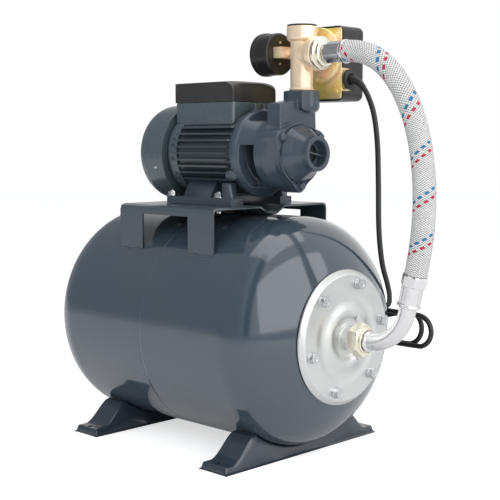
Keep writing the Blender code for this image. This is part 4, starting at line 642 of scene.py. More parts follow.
def smooth_route(points, spacing):
    """Even points along a smooth curve through the route's own points."""
    knots = [Vector(p) for p in points]
    knots = [knots[0] * 2 - knots[1]] + knots + [knots[-1] * 2 - knots[-2]]
    fine = []
    for a, b, c, d in zip(knots, knots[1:], knots[2:], knots[3:]):
        for k in range(24):
            t = k / 24
            fine.append(0.5 * (2 * b + (c - a) * t + (2 * a - 5 * b + 4 * c - d) * t * t
                               + (3 * b - a - 3 * c + d) * t ** 3))
    fine.append(knots[-2])
    total = length_of(fine)
    count = ceil(total / spacing)
    even = [fine[0]]
    walked = 0.0
    for a, b in zip(fine, fine[1:]):
        length = (b - a).length
        while len(even) < count and walked + length >= total / count * len(even):
            even.append(a.lerp(b, (total / count * len(even) - walked) / length))
        walked += length
    even.append(fine[-1])
    return even


# Power cord: out of the gland, down behind the set, and its rest wound into a hank

CORD_WIDTH = 6.4
cord_fall = (
    (147.3, 71.0, 441.5), (155.0, 71.1, 440.4), (163.5, 71.2, 436.0), (174.0, 71.8, 422.5), (183.2, 72.4, 400.0),
    (188.6, 72.8, 366.0), (190.6, 73.0, 320.0), (191.0, 74.5, 265.0), (190.4, 82.0, 225.0),
    (184.2, 101.0, 197.0), (169.0, 125.5, 178.5), (154.0, 143.0, 164.0),
)

# The hank's bights: end, way, depth, middle height and half height; the last drifts out by one width
hank_bights = (
    (51.6, -1, 146.2, 135.5, 19.3),
    (217.6, 1, 146.2, 135.5, 19.3),
    (51.6, -1, 152.8, 135.5, 19.3),
    (197.5, 1, 152.8, 135.5, 19.3),
)


def hank_route():
    """Two runs and their bights, two more behind them, and a last run out to the plug."""
    points = [(138.0, 146.6, 157.0), (118.0, 146.2, 154.8), (92.0, 146.2, 154.8)]
    for k, (end, way, depth, middle, half) in enumerate(hank_bights):
        centre = end - way * half
        first = 90 if k % 2 == 0 else 270
        if k == 2:
            points += [(176.0, 147.8, 154.8), (150.0, 151.0, 154.8), (100.0, 152.8, 154.8)]
        for step in range(9):
            angle = radians(first + 180 * step / 8)
            away = CORD_WIDTH * (step / 8) ** 2 if k == 3 else 0.0
            points.append((centre + half * cos(angle), depth + away, middle + half * sin(angle)))
        if k in (0, 2):
            points += [(100.0, depth, 116.2), (150.0, depth, 116.2)]
    points += [(160.0, 159.4, 152.2), (138.0, 159.4, 146.8), (114.0, 159.4, 141.2), (90.0, 159.2, 137.2),
               (66.0, 158.6, 135.5), (46.0, 158.0, 135.5)]
    return points


cord_path = smooth_route([in_metres(*p) for p in cord_fall + tuple(hank_route())], 4.0 * MM)


def build_cord():
    bm = bmesh.new()
    tube(bm, cord_path, CORD_WIDTH / 2, 20)
    cord = settle("lead", bm, "rubber", ("power_cord", "cord_hank"))
    build_relief()
    plug = build_plug()
    tie = build_tie()


def build_relief():
    """The tapered sleeve that eases the cord out of its gland."""
    sleeve = smooth_route(cord_path[:7], 0.6 * MM)

    def radius(k):
        share = k / (len(sleeve) - 1)
        groove = 0.35 if 2 < k < len(sleeve) - 3 and k % 6 in (4, 5) else 0.0
        return 5.6 - 2.0 * share - groove
    bm = bmesh.new()
    tube(bm, sleeve, radius, 24)
    settle("cord_sleeve", bm, "rubber", sharp=50)


def build_plug():
    """A plain moulded plug: ribbed neck, waisted body and two round pins."""
    x, y, z = 47.7, 158, 135.5
    bm = bmesh.new()
    neck = []
    for k in range(4):
        start = 0.5 + k * 3.0
        rib, groove = 4.6 + k * 0.3, 4.0 + k * 0.3
        neck += [(rib, start), (rib, start + 1.8), (groove, start + 2.1), (groove, start + 2.7)]
    grip = [(9.5, 13.5), (12.2, 18.0), (11.2, 27.0), (11.4, 38.0), (12.4, 44.0), (12.4, 49.5), (0, 50.0)]
    profile = [(0, 0), (4.0, 0.0)] + neck + grip
    lathe(bm, profile, at("-X", x, y, z), 48, 0.8)
    plug = settle("lead_plug", bm, "rubber", "cord_plug")
    bm = bmesh.new()
    for off in (-9.5, 9.5):
        lathe(bm, [(0, 49.0), (2.3, 49.0), (2.3, 66.0), (0, 68.0)], at("-X", x, y, z + off), 24, 0.8)
    settle("plug_pins", bm, "zinc")
    return plug


def build_tie():
    """A cable tie round the hank's upper runs, with its ratchet head."""
    bm = bmesh.new()
    outer = rounded_outline(142.4, 162.8, -158.6, -143.2, 3.0, 5)
    inner = rounded_outline(143.4, 161.8, -157.6, -144.2, 2.2, 5)
    rings = [[bm.verts.new(in_metres(x, y, -z)) for y, z in points]
             for points, x in ((outer, 108.0), (outer, 112.0), (inner, 112.0), (inner, 108.0))]
    for low, high in zip(rings, rings[1:] + rings[:1]):
        bridge(bm, low, high)
    block(bm, (107.2, 112.8), (150.0, 156.0), (158.4, 162.2), edge=0.4)
    return settle("hank_tie", bm, "black_plastic")


# Braided hose between its two crimped ends

# Its width as a solid and as drawn; the length of one turn of its lay, which is longer by a share
# up to the point where it fades into the plain lay
HOSE_DRAWN = 25.0
HOSE_LAY = 47.0
LONG_LAY_SHARE = 0.333
LONG_LAY_END = 160.0
LONG_LAY_FADE = 38.0

# The elbow's turn, the way that it points, and the frame of its upper end
elbow_turn = radians(76)
tilt = Vector((cos(elbow_turn), 0, sin(elbow_turn)))
lower_start = in_metres(289.83, 0, 190.31)
lower_line = Matrix.Translation(lower_start) @ Matrix.Rotation(pi / 2 - elbow_turn, 4, "Y") @ Matrix.Scale(MM, 4)
hose_top = in_metres(181.9, RISER_Y, BRANCH_HEIGHT)
hose_low = lower_start + tilt * 37.3 * MM


def hose_path():
    stub = 4 * MM
    first = hose_top + Vector((stub, 0, 0))
    last = hose_low + tilt * stub
    upper_handle = in_metres(265.8, RISER_Y, 467.8)
    lower_handle = last + tilt * 125.2 * MM - Vector((0, 1.8 * MM, 0))
    curve = bezier(first, upper_handle, lower_handle, last, 90)
    return [hose_top] + curve + [hose_low]


def build_hose():
    """The hose, with its turn and its length along the lay as coordinates for the braid."""
    path = hose_path()
    bm = bmesh.new()
    sides = 48
    rings = tube(bm, path, HOSE_DRAWN / 2, sides)
    lay = bm.loops.layers.uv.new("lay")
    places = {}
    wound = walked = 0.0
    for k, ring in enumerate(rings):
        if k:
            step = (path[k] - path[k - 1]).length / MM
            walked += step
            long_lay = min(1.0, max(0.0, (LONG_LAY_END - walked) / LONG_LAY_FADE))
            wound += step / HOSE_LAY * (1 - LONG_LAY_SHARE * long_lay)
        for n, vertex in enumerate(ring):
            places[vertex] = (n / sides, wound)
    for face in bm.faces:
        turns = [places[loop.vert][0] for loop in face.loops]
        for loop in face.loops:
            turn, along = places[loop.vert]
            if max(turns) - min(turns) > 0.5 and turn < 0.5:
                turn += 1.0
            loop[lay].uv = (turn, along)
    hose = settle("hose", bm, "braid", "braided_hose")


build_cord()
build_hose()


def dress(node, finish, edge, sharp=30, segments=2):
    """A plain node drawn again with its sharp edges rounded."""
    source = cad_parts[node]
    bm = bmesh.new()
    bm.from_mesh(source.data)
    bm.transform(source.matrix_world)
    bmesh.ops.dissolve_limit(bm, angle_limit=radians(0.5), verts=bm.verts, edges=bm.edges)
    bevel_sharp(bm, bm.edges, sharp, edge, segments)
    settle(node + "_fine", bm, finish, node, sharp)


# Tank

TANK_RADIUS = 135.0
BARREL_HALF = 132.0
DOME_DEPTH = 80.0
SEAT_RADIUS = 75.5
MOUTH_RADIUS = 52.0
VALVE_HOLE = 4.3
FLANGE_BOLT_CIRCLE = 63.2
WALL = 2.0


def dome(first, last, inset=0.0, steps=36):
    """Points of a dome's half-ellipse between two radii, from the barrel's end outward."""
    start, end = acos(first / TANK_RADIUS), acos(last / TANK_RADIUS)
    angles = [start + (end - start) * k / steps for k in range(steps + 1)]
    return [((TANK_RADIUS - inset) * cos(angle), BARREL_HALF + (DOME_DEPTH - inset) * sin(angle), 0)
            for angle in angles]


def build_tank():
    rear = [(radius, -height, 0) for radius, height, _ in dome(VALVE_HOLE, TANK_RADIUS)]
    seam = [(TANK_RADIUS, -1.9, 0.4), (TANK_RADIUS - 0.35, -1.2, 0.4), (TANK_RADIUS - 0.25, 0.2, 0.4),
            (TANK_RADIUS - 0.1, 0.9, 0.4), (TANK_RADIUS, 1.5, 0.3)]
    front = dome(TANK_RADIUS, SEAT_RADIUS)
    seat = front[-1][1]
    mouth = [(MOUTH_RADIUS, seat, 1.0), (MOUTH_RADIUS, seat - WALL, 1.0), (SEAT_RADIUS - 4, seat - WALL - 0.6, 1.0)]
    inner_front = dome(SEAT_RADIUS, TANK_RADIUS, WALL, 16)
    inner_rear = [(radius, -height, 0) for radius, height, _ in dome(TANK_RADIUS, VALVE_HOLE + 1, WALL, 16)]
    turned("tank", rear + seam + front + mouth + inner_front + inner_rear, tank_line, "tank_paint",
           "tank_shell", 160, 0.0, closed=True, sharp=35)


def build_flange():
    """Pressed galvanised plate: rolled rim, ring groove, crown round the threaded nipple."""
    profile = [(9.5, 199.6), (9.5, 221.3, 0.5), (13.4, 221.3, 0.8), (13.8, 206.6, 0.4), (14.8, 206.0, 0.3),
               (14.8, 204.6, 0.4), (18.0, 203.6, 1.0), (22.0, 203.8, 2.2), (26.5, 207.4, 3.0), (32.0, 207.6, 4.5),
               (40.0, 204.6, 5.0), (46.0, 204.2, 4.0), (52.0, 205.4, 4.0), (72.6, 205.4, 1.6), (77.2, 200.8, 1.2),
               (77.75, 199.4, 0.4), (77.3, 198.9, 0.3), (75.6, 199.4, 0.4), (69.4, 203.2, 1.0), (13.0, 203.2)]
    bm = bmesh.new()
    lathe(bm, profile, tank_line, 160, 0.4, closed=True)
    for angle in (57, 303):
        rib = tank_line @ Matrix.Rotation(radians(angle), 4, "Z")
        block(bm, (23.0, 32.0), (-0.7, 0.7), (206.0, 209.2), rib, 0.4)
    settle("flange", bm, "galvanised", "tank_flange", sharp=50)


def build_flange_bolt(name, y, z, turn):
    """Hexagon head with a chamfered crown and a pressed washer."""
    where = at("X", 0, y, z)
    head = polygon(11.5, turn=turn)
    crown = polygon(11.5, 5.9, turn)
    profile = [(0, 192.0), (4.0, 192.0), (4.0, 205.4), (6.5, 205.4, 0.2), (6.5, 206.2, 0.3), (6.0, 206.6, 0.2),
               (head, 206.6, 0.1), (head, 211.2, 0.3), (crown, 212.3, 0.3), (3.2, 212.3, 0.3), (2.8, 212.0, 0.3),
               (0, 212.0)]
    turned(name + "_fine", profile, where, "zinc", name, 48, 0.2, sharp=30)


def build_flange_bolts():
    for k in range(6):
        angle = radians(13 + 60 * k)
        build_flange_bolt(f"flange_bolt_{k + 1}", FLANGE_BOLT_CIRCLE * cos(angle),
                          TANK_HEIGHT + FLANGE_BOLT_CIRCLE * sin(angle), radians(17 + 23 * k))


def build_air_valve():
    nut = polygon(13)
    crown = polygon(13, 6.9)
    profile = [(1.2, 196.0), (4.0, 196.0), (4.0, 211.7), (6.4, 211.7), (6.4, 212.3), (nut, 212.4), (nut, 215.6),
               (crown, 216.3), (4.0, 216.4), (4.0, 221.0), (3.5, 222.0), (3.5, 226.0), (4.0, 226.6)]
    for k in range(6):
        profile += [(4.0, 227.0 + k), (3.5, 227.5 + k)]
    profile += [(3.6, 234.0), (1.2, 234.0)]
    where = at("-X", 0, 0, TANK_HEIGHT)
    turned("valve_stem", profile, where, "brass", "air_valve", 48, 0.15, closed=True, sharp=30)

    def knurled(angle):
        return 5.25 + 0.25 * cos(24 * angle)
    cap = [(4.5, 224.3), (5.1, 224.3), (knurled, 225.0), (knurled, 233.5), (4.9, 235.6, 0.8), (0, 236.0)]
    turned("valve_cap", cap, where, "rubber", "air_valve_cap", 96, 0.3)


# Tank connection and hose fittings


def build_tank_nut():
    """Hexagon union nut with chamfered ends and a narrow rim, on its sealing washer."""
    flat = polygon(33.4, turn=radians(8))
    inner_end = polygon(33.4, 17.8, radians(8))
    outer_end = polygon(33.4, 17.6, radians(8))
    profile = [(9.8, 217.4), (13.6, 217.4), (inner_end, 217.5, 0.4), (flat, 219.2, 0.5), (flat, 230.0, 0.5),
               (outer_end, 231.4, 0.4), (15.6, 231.5, 0.3), (14.4, 231.9, 0.3), (14.4, 235.0, 0.6), (13.2, 235.6, 0.3),
               (12.6, 234.2, 0.3), (9.8, 234.2)]
    turned("nut_on_nipple", profile, tank_line, "pale_brass", "tank_nut", 96, 0.3, closed=True, sharp=30)


def build_elbow():
    """Plated tube bent up from the nipple to the hose, with its upset bead."""
    start, bend_start, bend_radius, last_run = 221.6, 239.7, 50.0, 6.3
    path = [in_metres(start + (bend_start - start) * k / 4, 0, TANK_HEIGHT) for k in range(4)]
    for k in range(25):
        angle = elbow_turn * k / 24
        height = TANK_HEIGHT + bend_radius * (1 - cos(angle))
        path.append(in_metres(bend_start + bend_radius * sin(angle), 0, height))
    path.append(path[-1] + tilt * last_run * MM)
    bm = bmesh.new()
    tube(bm, path, 9.5, 48)
    lathe(bm, [(9.3, 235.3), (11.2, 235.3, 0.6), (12.0, 236.4, 0.7), (11.4, 238.0, 0.8), (9.3, 239.2)],
          tank_line, 48, 0.4)
    settle("elbow", bm, "chrome", "hose_elbow")


def build_lower_ferrule():
    """Crimped sleeve over the hose with a collar nut: eight flats and a hexagon."""
    sleeve = polygon(23.4, 12.1, sides=8)
    collar = polygon(26.2, 14.6, radians(20))
    collar_end = polygon(26.2, 13.4, radians(20))
    profile = [(9.7, 0.2), (12.3, 0.2, 0.4), (13.4, 1.2, 0.5), (13.4, 3.2, 0.5), (12.0, 4.0, 0.3), (sleeve, 4.6, 0.6),
               (sleeve, 23.8, 0.6), (12.2, 24.5, 0.2), (collar_end, 24.6, 0.3), (collar, 25.8, 0.4),
               (collar, 35.6, 0.4), (collar_end, 36.8, 0.4), (13.4, 37.0, 0.3), (9.7, 37.0)]
    turned("lower_ferrule", profile, lower_line, "chrome", "hose_ferrule_lower", 96, 0.3, closed=True, sharp=30)


def build_upper_ferrule():
    sleeve = polygon(24.2, sides=12)
    profile = [(8.5, 39.6), (11.6, 39.6, 0.4), (sleeve, 40.4, 0.4), (sleeve, 64.4, 0.4), (12.6, 65.1, 0.2),
               (13.2, 65.3, 0.4), (13.8, 66.6, 0.8), (13.8, 68.6, 0.6), (13.3, 69.6, 0.3), (8.5, 69.6)]
    turned("upper_ferrule", profile, branch_line, "chrome", "hose_ferrule_upper", 96, 0.3, closed=True, sharp=28)


def build_union():
    ring = [(9.0, 28.3), (18.6, 28.3, 0.3), (19.8, 29.6, 0.8), (19.8, 32.4, 0.8), (18.6, 33.8, 0.5), (16.2, 34.2, 0.4),
            (16.6, 35.2, 0.5), (16.6, 37.8, 0.8), (15.0, 39.2, 0.5), (12.4, 39.3, 0.3), (9.0, 39.3)]
    turned("union_ring", ring, branch_line, "pale_brass", "union_nut", 96, 0.3, closed=True)


# Brass body and what hangs on it


def build_five_way():
    """Cast body: riser with its collar, the hose branch, the gauge boss and the switch branch."""
    riser = [(0, 0.3), (13.6, 0.3, 0.2), (15.0, 0.5, 0.3), (15.0, 2.0, 0.6), (13.5, 3.4, 0.8), (13.5, 57.0, 2.0),
             (17.2, 59.4, 1.4), (18.0, 61.0, 1.2), (18.0, 74.6, 0.8), (17.2, 75.5, 0.4), (0, 75.5)]
    piece = turned("brass_body", riser, riser_line, "brass", "five_way", 96, 0.5)
    branch = [(0, 0), (14.5, 0), (14.5, 14.0, 2.0), (16.5, 16.0, 1.5), (19.3, 18.0, 1.6), (20.0, 20.0, 1.0),
              (20.0, 27.0, 0.8), (19.2, 28.0, 0.4), (0, 28.0)]
    gauge_boss = [(0, 0), (7.6, 0), (7.6, 14.0, 0.8), (6.4, 15.0, 0.4), (0, 15.0)]
    switch_arm = [(0, 0), (9.0, 0), (9.0, 19.6, 0.4), (0, 20.0)]
    joins = [solid("branch", branch, branch_line), solid("gauge_boss", gauge_boss, gauge_line),
             solid("switch_arm", switch_arm, switch_line)]
    work(piece, joins, then=casting_skin(0.55, 0.45))
    piece.data.shade_smooth()
    cap = [(0, 75.8), (17.4, 75.8, 0.2), (17.5, 76.2, 0.3), (17.5, 77.2, 0.4), (0, 77.3)]
    turned("cap_disc", cap, riser_line, "black_plastic", "outlet_cap", 72, 0.2)


def build_gauge():
    bm = bmesh.new()
    lathe(bm, [(0, 13.8), (6.6, 13.8), (6.6, 21.0, 0.4), (0, 21.0)], gauge_line, 48, 0.2)
    block(bm, (77.9, 91.6), (12.0, 36.4), (467.0, 480.1), at("Z", 0, 0, 0), 0.5)
    settle("gauge_square", bm, "yellow_zinc", "gauge_stem", sharp=30)
    case = [(0, 34.3), (23.8, 34.3, 0.8), (25.2, 35.6, 0.8), (25.2, 52.8, 0.2), (24.9, 53.0, 0.2), (25.0, 53.6, 0.2),
            (26.0, 53.8, 0.3), (26.0, 61.0, 0.8), (25.2, 61.8, 0.4), (23.4, 61.8, 0.3), (22.9, 60.6, 0.3),
            (22.9, 53.2, 0.3), (0, 53.2)]
    turned("gauge_case_fine", case, gauge_line, "black_plastic", "gauge_case", 128, 0.3)
    for z in (486.1, 461.0):
        turned("gauge_screw", [(0, 33.5), (1.5, 33.5, 0.4), (1.8, 34.4), (0, 34.4)], at("-X", RISER_X, 24.2, z),
               "zinc", sides=24, rounding=0.2)


def build_housing():
    """The switch's diaphragm housing: neck, hub and a flange with a rolled joint."""
    profile = [(0, 20.3), (11.0, 20.3, 0.4), (11.0, 24.4, 0.6), (15.4, 25.0, 0.6), (16.5, 26.0, 0.8), (28.0, 26.4, 1.0),
               (32.6, 26.9, 0.8), (33.5, 28.0, 0.6), (33.5, 29.6, 0.3), (33.0, 29.9, 0.2), (33.0, 30.5, 0.2),
               (33.5, 30.8, 0.3), (33.5, 33.4, 0.6), (32.8, 34.2, 0.3), (0, 34.2)]
    bm = bmesh.new()
    lathe(bm, profile, switch_line, 96, 0.4)
    for k in range(6):
        angle = radians(30 + 60 * k)
        where = at("Y", RISER_X + 28.6 * cos(angle), RISER_Y, BRANCH_HEIGHT - 28.6 * sin(angle))
        lathe(bm, [(0, 25.6), (2.6, 25.6, 0.5), (2.9, 26.2, 0.3), (2.9, 26.9), (0, 26.9)], where, 24, 0.2)
    settle("diaphragm_case", bm, "yellow_zinc", "diaphragm_housing")


def build_switch():
    base = bmesh.new()
    outline = rounded_outline(79.5, 143.8, -502.5, -418.5, 3.0, 8)
    slab(base, outline, 59.7, 79.7, depth_frame, 0.8, 3)
    for x, z in ((88.0, 427.5), (135.5, 427.5), (88.0, 493.5), (135.5, 493.5)):
        where = at("Y", x, 0, z)
        lathe(base, [(0, 58.4), (2.4, 58.4, 0.6), (3.4, 59.1, 0.5), (3.4, 59.8), (0, 59.8)], where, 24, 0.2)
    settle("switch_bracket", base, "yellow_zinc", "switch_base")
    cover = bmesh.new()
    cover.from_mesh(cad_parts["switch_cover"].data)
    bmesh.ops.remove_doubles(cover, verts=cover.verts, dist=0.01 * MM)
    bmesh.ops.dissolve_limit(cover, angle_limit=radians(0.5), verts=cover.verts, edges=cover.edges)
    far = max(vertex.co.y for vertex in cover.verts)
    rim = [edge for edge in cover.edges if all(vertex.co.y > far - 0.01 * MM for vertex in edge.verts)
           and any(abs(face.normal.y) < 0.5 for face in edge.link_faces)]
    bmesh.ops.bevel(cover, geom=rim, offset=5.5 * MM, segments=5, profile=0.5, affect="EDGES")
    settle("switch_cover_fine", cover, "black_plastic", "switch_cover", sharp=32)
    profile = [(0, -1.0), (8.4, -1.0), (8.5, 2.0, 0.6), (11.2, 2.2, 0.6), (12.0, 3.2, 0.8), (12.0, 5.2, 1.0),
               (10.6, 6.4, 0.6), (7.0, 6.5, 0.5), (6.0, 5.2, 0.6), (4.4, 4.8, 0.5), (4.3, 8.5, 0.6), (0, 8.6)]
    turned("gland", profile, gland_line, "rubber", "switch_gland", 64, 0.4)


# Stand and feet


def build_motor_stand():
    """Folded sheet: four legs with a window between each pair and a channel pressed along the top."""
    dress("pump_stand", "sheet_paint", 0.5)
    weld = bmesh.new()
    leg_side = 99.0
    foot_of_leg = TANK_HEIGHT + sqrt(TANK_RADIUS ** 2 - leg_side ** 2)
    for side in (-1, 1):
        for start in (-76.0, -54.0, 47.5, 70.0):
            path = []
            for k in range(11):
                ripple = k % 2
                path.append(in_metres(start + 1.6 * k, side * (leg_side + 0.4 + 0.3 * ripple),
                                      foot_of_leg - 0.4 - 0.4 * ripple))
            tube(weld, path, lambda k: 1.5 if 0 < k < 10 else 0.6, 10)
    settle("leg_welds", weld, "sheet_paint")
    for k in range(1, 5):
        build_stand_bolt(f"stand_bolt_{k}")


def build_stand_bolt(name):
    """Hexagon head on a washer above the motor foot, and its nut under the stand."""
    low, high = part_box(name)
    where = Matrix.Translation(((low[0] + high[0]) / 2, (low[1] + high[1]) / 2, 0)) @ Matrix.Scale(MM, 4)
    turn = low[0] * 40
    head = polygon(10.0, turn=turn)
    crown = polygon(10.0, 5.2, turn)
    profile = [(0, 282.5), (3.0, 282.5, 0.4), (3.0, 284.7), (head, 284.7, 0.3), (head, 289.2), (3.0, 289.2),
               (3.0, 301.3), (6.8, 301.3, 0.2), (6.8, 302.4, 0.3), (head, 302.5, 0.2), (head, 306.0, 0.3),
               (crown, 307.0, 0.3), (3.0, 307.0, 0.1), (3.0, 308.3, 0.4), (0, 308.3)]
    turned(name + "_fine", profile, where, "zinc", name, 48, 0.2, sharp=30)


# How far out a foot's saddle and its ramps end, and the height of its flat pads
SADDLE_END = 81.0
RAMP_END = 117.0
PAD_HEIGHT = 9.0


def saddle_level(away):
    return TANK_HEIGHT - sqrt((TANK_RADIUS + 0.3) ** 2 - away ** 2)


def ramp_share(away):
    return min(1.0, max(0.0, (RAMP_END - away) / (RAMP_END - SADDLE_END)))


def foot_level(away):
    """Height of a foot's top along it: the tank's saddle, the ramp and the flat pad with its rounded end."""
    if away <= SADDLE_END:
        return saddle_level(away)
    if away >= RAMP_END:
        return PAD_HEIGHT - 7.2 * (max(0.0, away - 128.6) / 2.4) ** 2
    share = ramp_share(away)
    rise = 0.35 * share + 0.65 * sin(pi / 2 * share) ** 2
    rounding = 1.5 * max(0.0, share - 0.85) / 0.15
    return PAD_HEIGHT + (saddle_level(SADDLE_END) - PAD_HEIGHT) * rise - rounding


def build_foot(name, place):
    """Pressed sheet: a lip on the floor, leaning walls, rounded top edges and a bolt hole in each pad."""
    reaches = [0, 10, 20, 30, 40, 50, 60, 68, 74, 78, 80.2, 81.4] + [83 + 2 * k for k in range(18)]
    reaches += [120, 124, 127, 128.6, 129.4, 130.2, 130.8, 131.0]
    rows = []
    bm = bmesh.new()
    for away in [-reach for reach in reversed(reaches[1:])] + reaches:
        top = foot_level(abs(away))
        wide = 19.2 - 2.2 * ramp_share(abs(away))
        corner = min(2.6, (top - 1.8) * 0.4)
        half = [(21.9, 0.0), (21.9, 1.0), (21.5, 1.4), (20.6, 1.7), (20.1, 2.1)]
        half += [(wide + 0.4, top - corner - 0.4)]
        half += [(wide - corner + corner * cos(radians(a)), top - corner + corner * sin(radians(a)))
                 for a in (15, 35, 55, 75, 90)]
        half += [(wide * 0.5, top), (0.0, top)]
        line = [(-x, z) for x, z in half] + [(x, z) for x, z in reversed(half[:-1])]
        rows.append([bm.verts.new(in_metres(place + x, away, min(z, max(top, 0.0)))) for x, z in line])
    for end in (-1, 1):
        edge = [bm.verts.new(in_metres(place + x, 132.5 * end, min(z, 1.2))) for x, z in line]
        rows.insert(0, edge) if end < 0 else rows.append(edge)
    for low, high in zip(rows, rows[1:]):
        for a, b, c, d in zip(low, low[1:], high[1:], high):
            bm.faces.new((a, b, c, d))
    bmesh.ops.remove_doubles(bm, verts=bm.verts, dist=0.02 * MM)
    piece = settle(name + "_fine", bm, "foot_paint", name, sharp=38, weighted=False)
    sheet = piece.modifiers.new("sheet", "SOLIDIFY")
    sheet.thickness = 2.2 * MM
    sheet.offset = -1.0
    holes = [solid("hole", [(0, 4.0), (3.5, 4.0), (3.5, 14.0), (0, 14.0)], at("Z", place, y), 24, 0.0)
             for y in (-124, 124)]
    work(piece, cuts=holes, solver="EXACT")
    for vertex in piece.data.vertices:
        vertex.co.z = max(vertex.co.z, 0.0)
    piece.data.set_sharp_from_angle(angle=radians(38))


def build_feet():
    for name, place in (("foot_front", 121.8), ("foot_rear", -110.9)):
        build_foot(name, place)


# Motor


def build_motor_body():
    # The finned frame takes the darker copy of the motor paint: painted shade between its fins.
    dress("motor_frame", "motor_paint_painted_shade", 0.55)
    rim = 52.5
    shield = [(47.0, -44.5), (47.0, -40.6, 0.3), (rim, -40.4, 1.4), (rim, -24.4, 0.5), (47.4, -24.4, 0.3),
              (47.4, -26.0, 0.3), (20.0, -30.0, 0.5), (18.0, -48.0, 0.5), (14.0, -50.4, 0.5), (57.6, -53.8, 0.5),
              (57.8, -45.2, 0.5)]
    turned("end_shield", shield, shaft_line, "motor_paint", "rear_shield", 128, 0.4, closed=True)
    for z in (371.6, 364.0, 347.2, 329.3):
        rise = z - SHAFT_HEIGHT
        reach = sqrt(rim ** 2 - rise ** 2)
        where = at("Z", -32.0, -reach + 0.2, z) @ Matrix.Rotation(atan2(reach, rise), 4, "X")
        # The screws take the darker copy of the motor paint too: painted shade.
        turned("shield_screw", [(0, 0), (2.3, 0), (2.3, 0.9, 0.4), (1.5, 1.6, 0.4), (0, 1.6)], where, "motor_paint_painted_shade",
               sides=24, rounding=0.2)
    where = at("Z", -57.8, -57.0, 336.0) @ Matrix.Rotation(atan2(57.0, -18.0), 4, "X")
    turned("cover_screw", [(0, 0), (2.2, 0), (2.2, 0.5, 0.3), (1.4, 1.2, 0.4), (0, 1.2)], where, "zinc",
           sides=24, rounding=0.2)


def build_cover():
    """Pressed fan cover with a rounded end and ten radial vents."""
    profile = [(0, -91.5), (48.0, -91.5, 4.0), (57.0, -88.6, 5.0), (60.0, -79.0, 3.0), (60.0, -45.0, 0.4),
               (59.6, -44.0, 0.3), (58.5, -44.0, 0.3), (58.5, -79.5, 3.0), (56.0, -87.6, 4.0), (47.6, -90.0, 3.0),
               (0, -90.0)]
    cover = turned("cover_shell", profile, shaft_line, "motor_paint", "fan_cover", 144, 0.5)

    def vents(bm):
        for k in range(10):
            turn = shaft_line @ Matrix.Rotation(2 * pi * k / 10, 4, "Z")
            slab(bm, [(20, -1.7), (46, -1.7), (46, 1.7), (20, 1.7)], -96.0, -87.2, turn)
    work(cover, cuts=[tool("vents", vents)])
    cover.data.shade_smooth()
    cover.data.set_sharp_from_angle(angle=radians(35))


def build_foot_casting():
    dress("motor_foot", "cast_paint", 0.9, segments=3)


# The terminal box and its lid: rear, front and half width
BOX_REAR = -42.5
BOX_FRONT = 59.0
BOX_HALF = 38.0


def build_box():
    outline = rounded_outline(BOX_REAR, BOX_FRONT, -BOX_HALF, BOX_HALF, 5.0, 10)
    bm = bmesh.new()
    slab(bm, outline, 388.0, 415.0, set_frame, 0.7, 2)
    box = settle("box_body", bm, "motor_paint", "terminal_box")
    seats = [solid("seat", [(0, -60), (radius, -60), (radius, end), (0, end)], shaft_line, 96, 0.0)
             for radius, end in ((50.8, 80), (52.8, -24))]
    work(box, cuts=seats)
    box.data.set_sharp_from_angle(angle=radians(35))


def lid_row(bm, x, half, side, crown, low, steps=28):
    """One station of the lid: up the near side, over the arch and down the far side."""
    across = [-half + 2 * half * k / steps for k in range(steps + 1)]
    line = [(-half, low)] + [(y, low + side + (crown - side) * (1 - (y / half) ** 4)) for y in across] + [(half, low)]
    return [bm.verts.new(set_frame @ Vector((x, y, z))) for y, z in line]


def build_lid():
    """Arched lid whose front end rolls down in a quarter circle, with a narrow lip round its foot."""
    bm = bmesh.new()
    stations = [(BOX_REAR, BOX_HALF - 0.6, 22.9, 24.4), (BOX_REAR + 0.6, BOX_HALF - 0.15, 23.4, 24.9),
                (BOX_REAR + 1.4, BOX_HALF, 23.5, 25.0)]
    for k in range(17):
        share = k / 16
        drop = 1 - sqrt(max(0.0, 1 - share ** 2))
        stations.append((BOX_FRONT - 17 * (1 - share), BOX_HALF - 1.2 * share ** 6,
                         23.5 - 11.0 * drop, 25.0 - 5.7 * drop))
    rows = [lid_row(bm, *station, 415.3) for station in stations]
    for first, second in zip(rows, rows[1:]):
        bridge(bm, first, second)
    bm.faces.new(rows[0])
    bm.faces.new(rows[-1])
    bmesh.ops.recalc_face_normals(bm, faces=bm.faces)
    bevel_sharp(bm, bm.edges, 40, 1.3, 3)
    settle("lid", bm, "lid_plastic", "terminal_lid", sharp=50)


# Pump

COLUMN = [(-26.0, 19.0), (-26.0, 57.5), (4.0, 62.5), (35.5, 62.5), (37.5, 28.0), (36.5, 12.0), (28.0, 17.0),
          (12.0, 33.5), (-12.0, 33.5)]


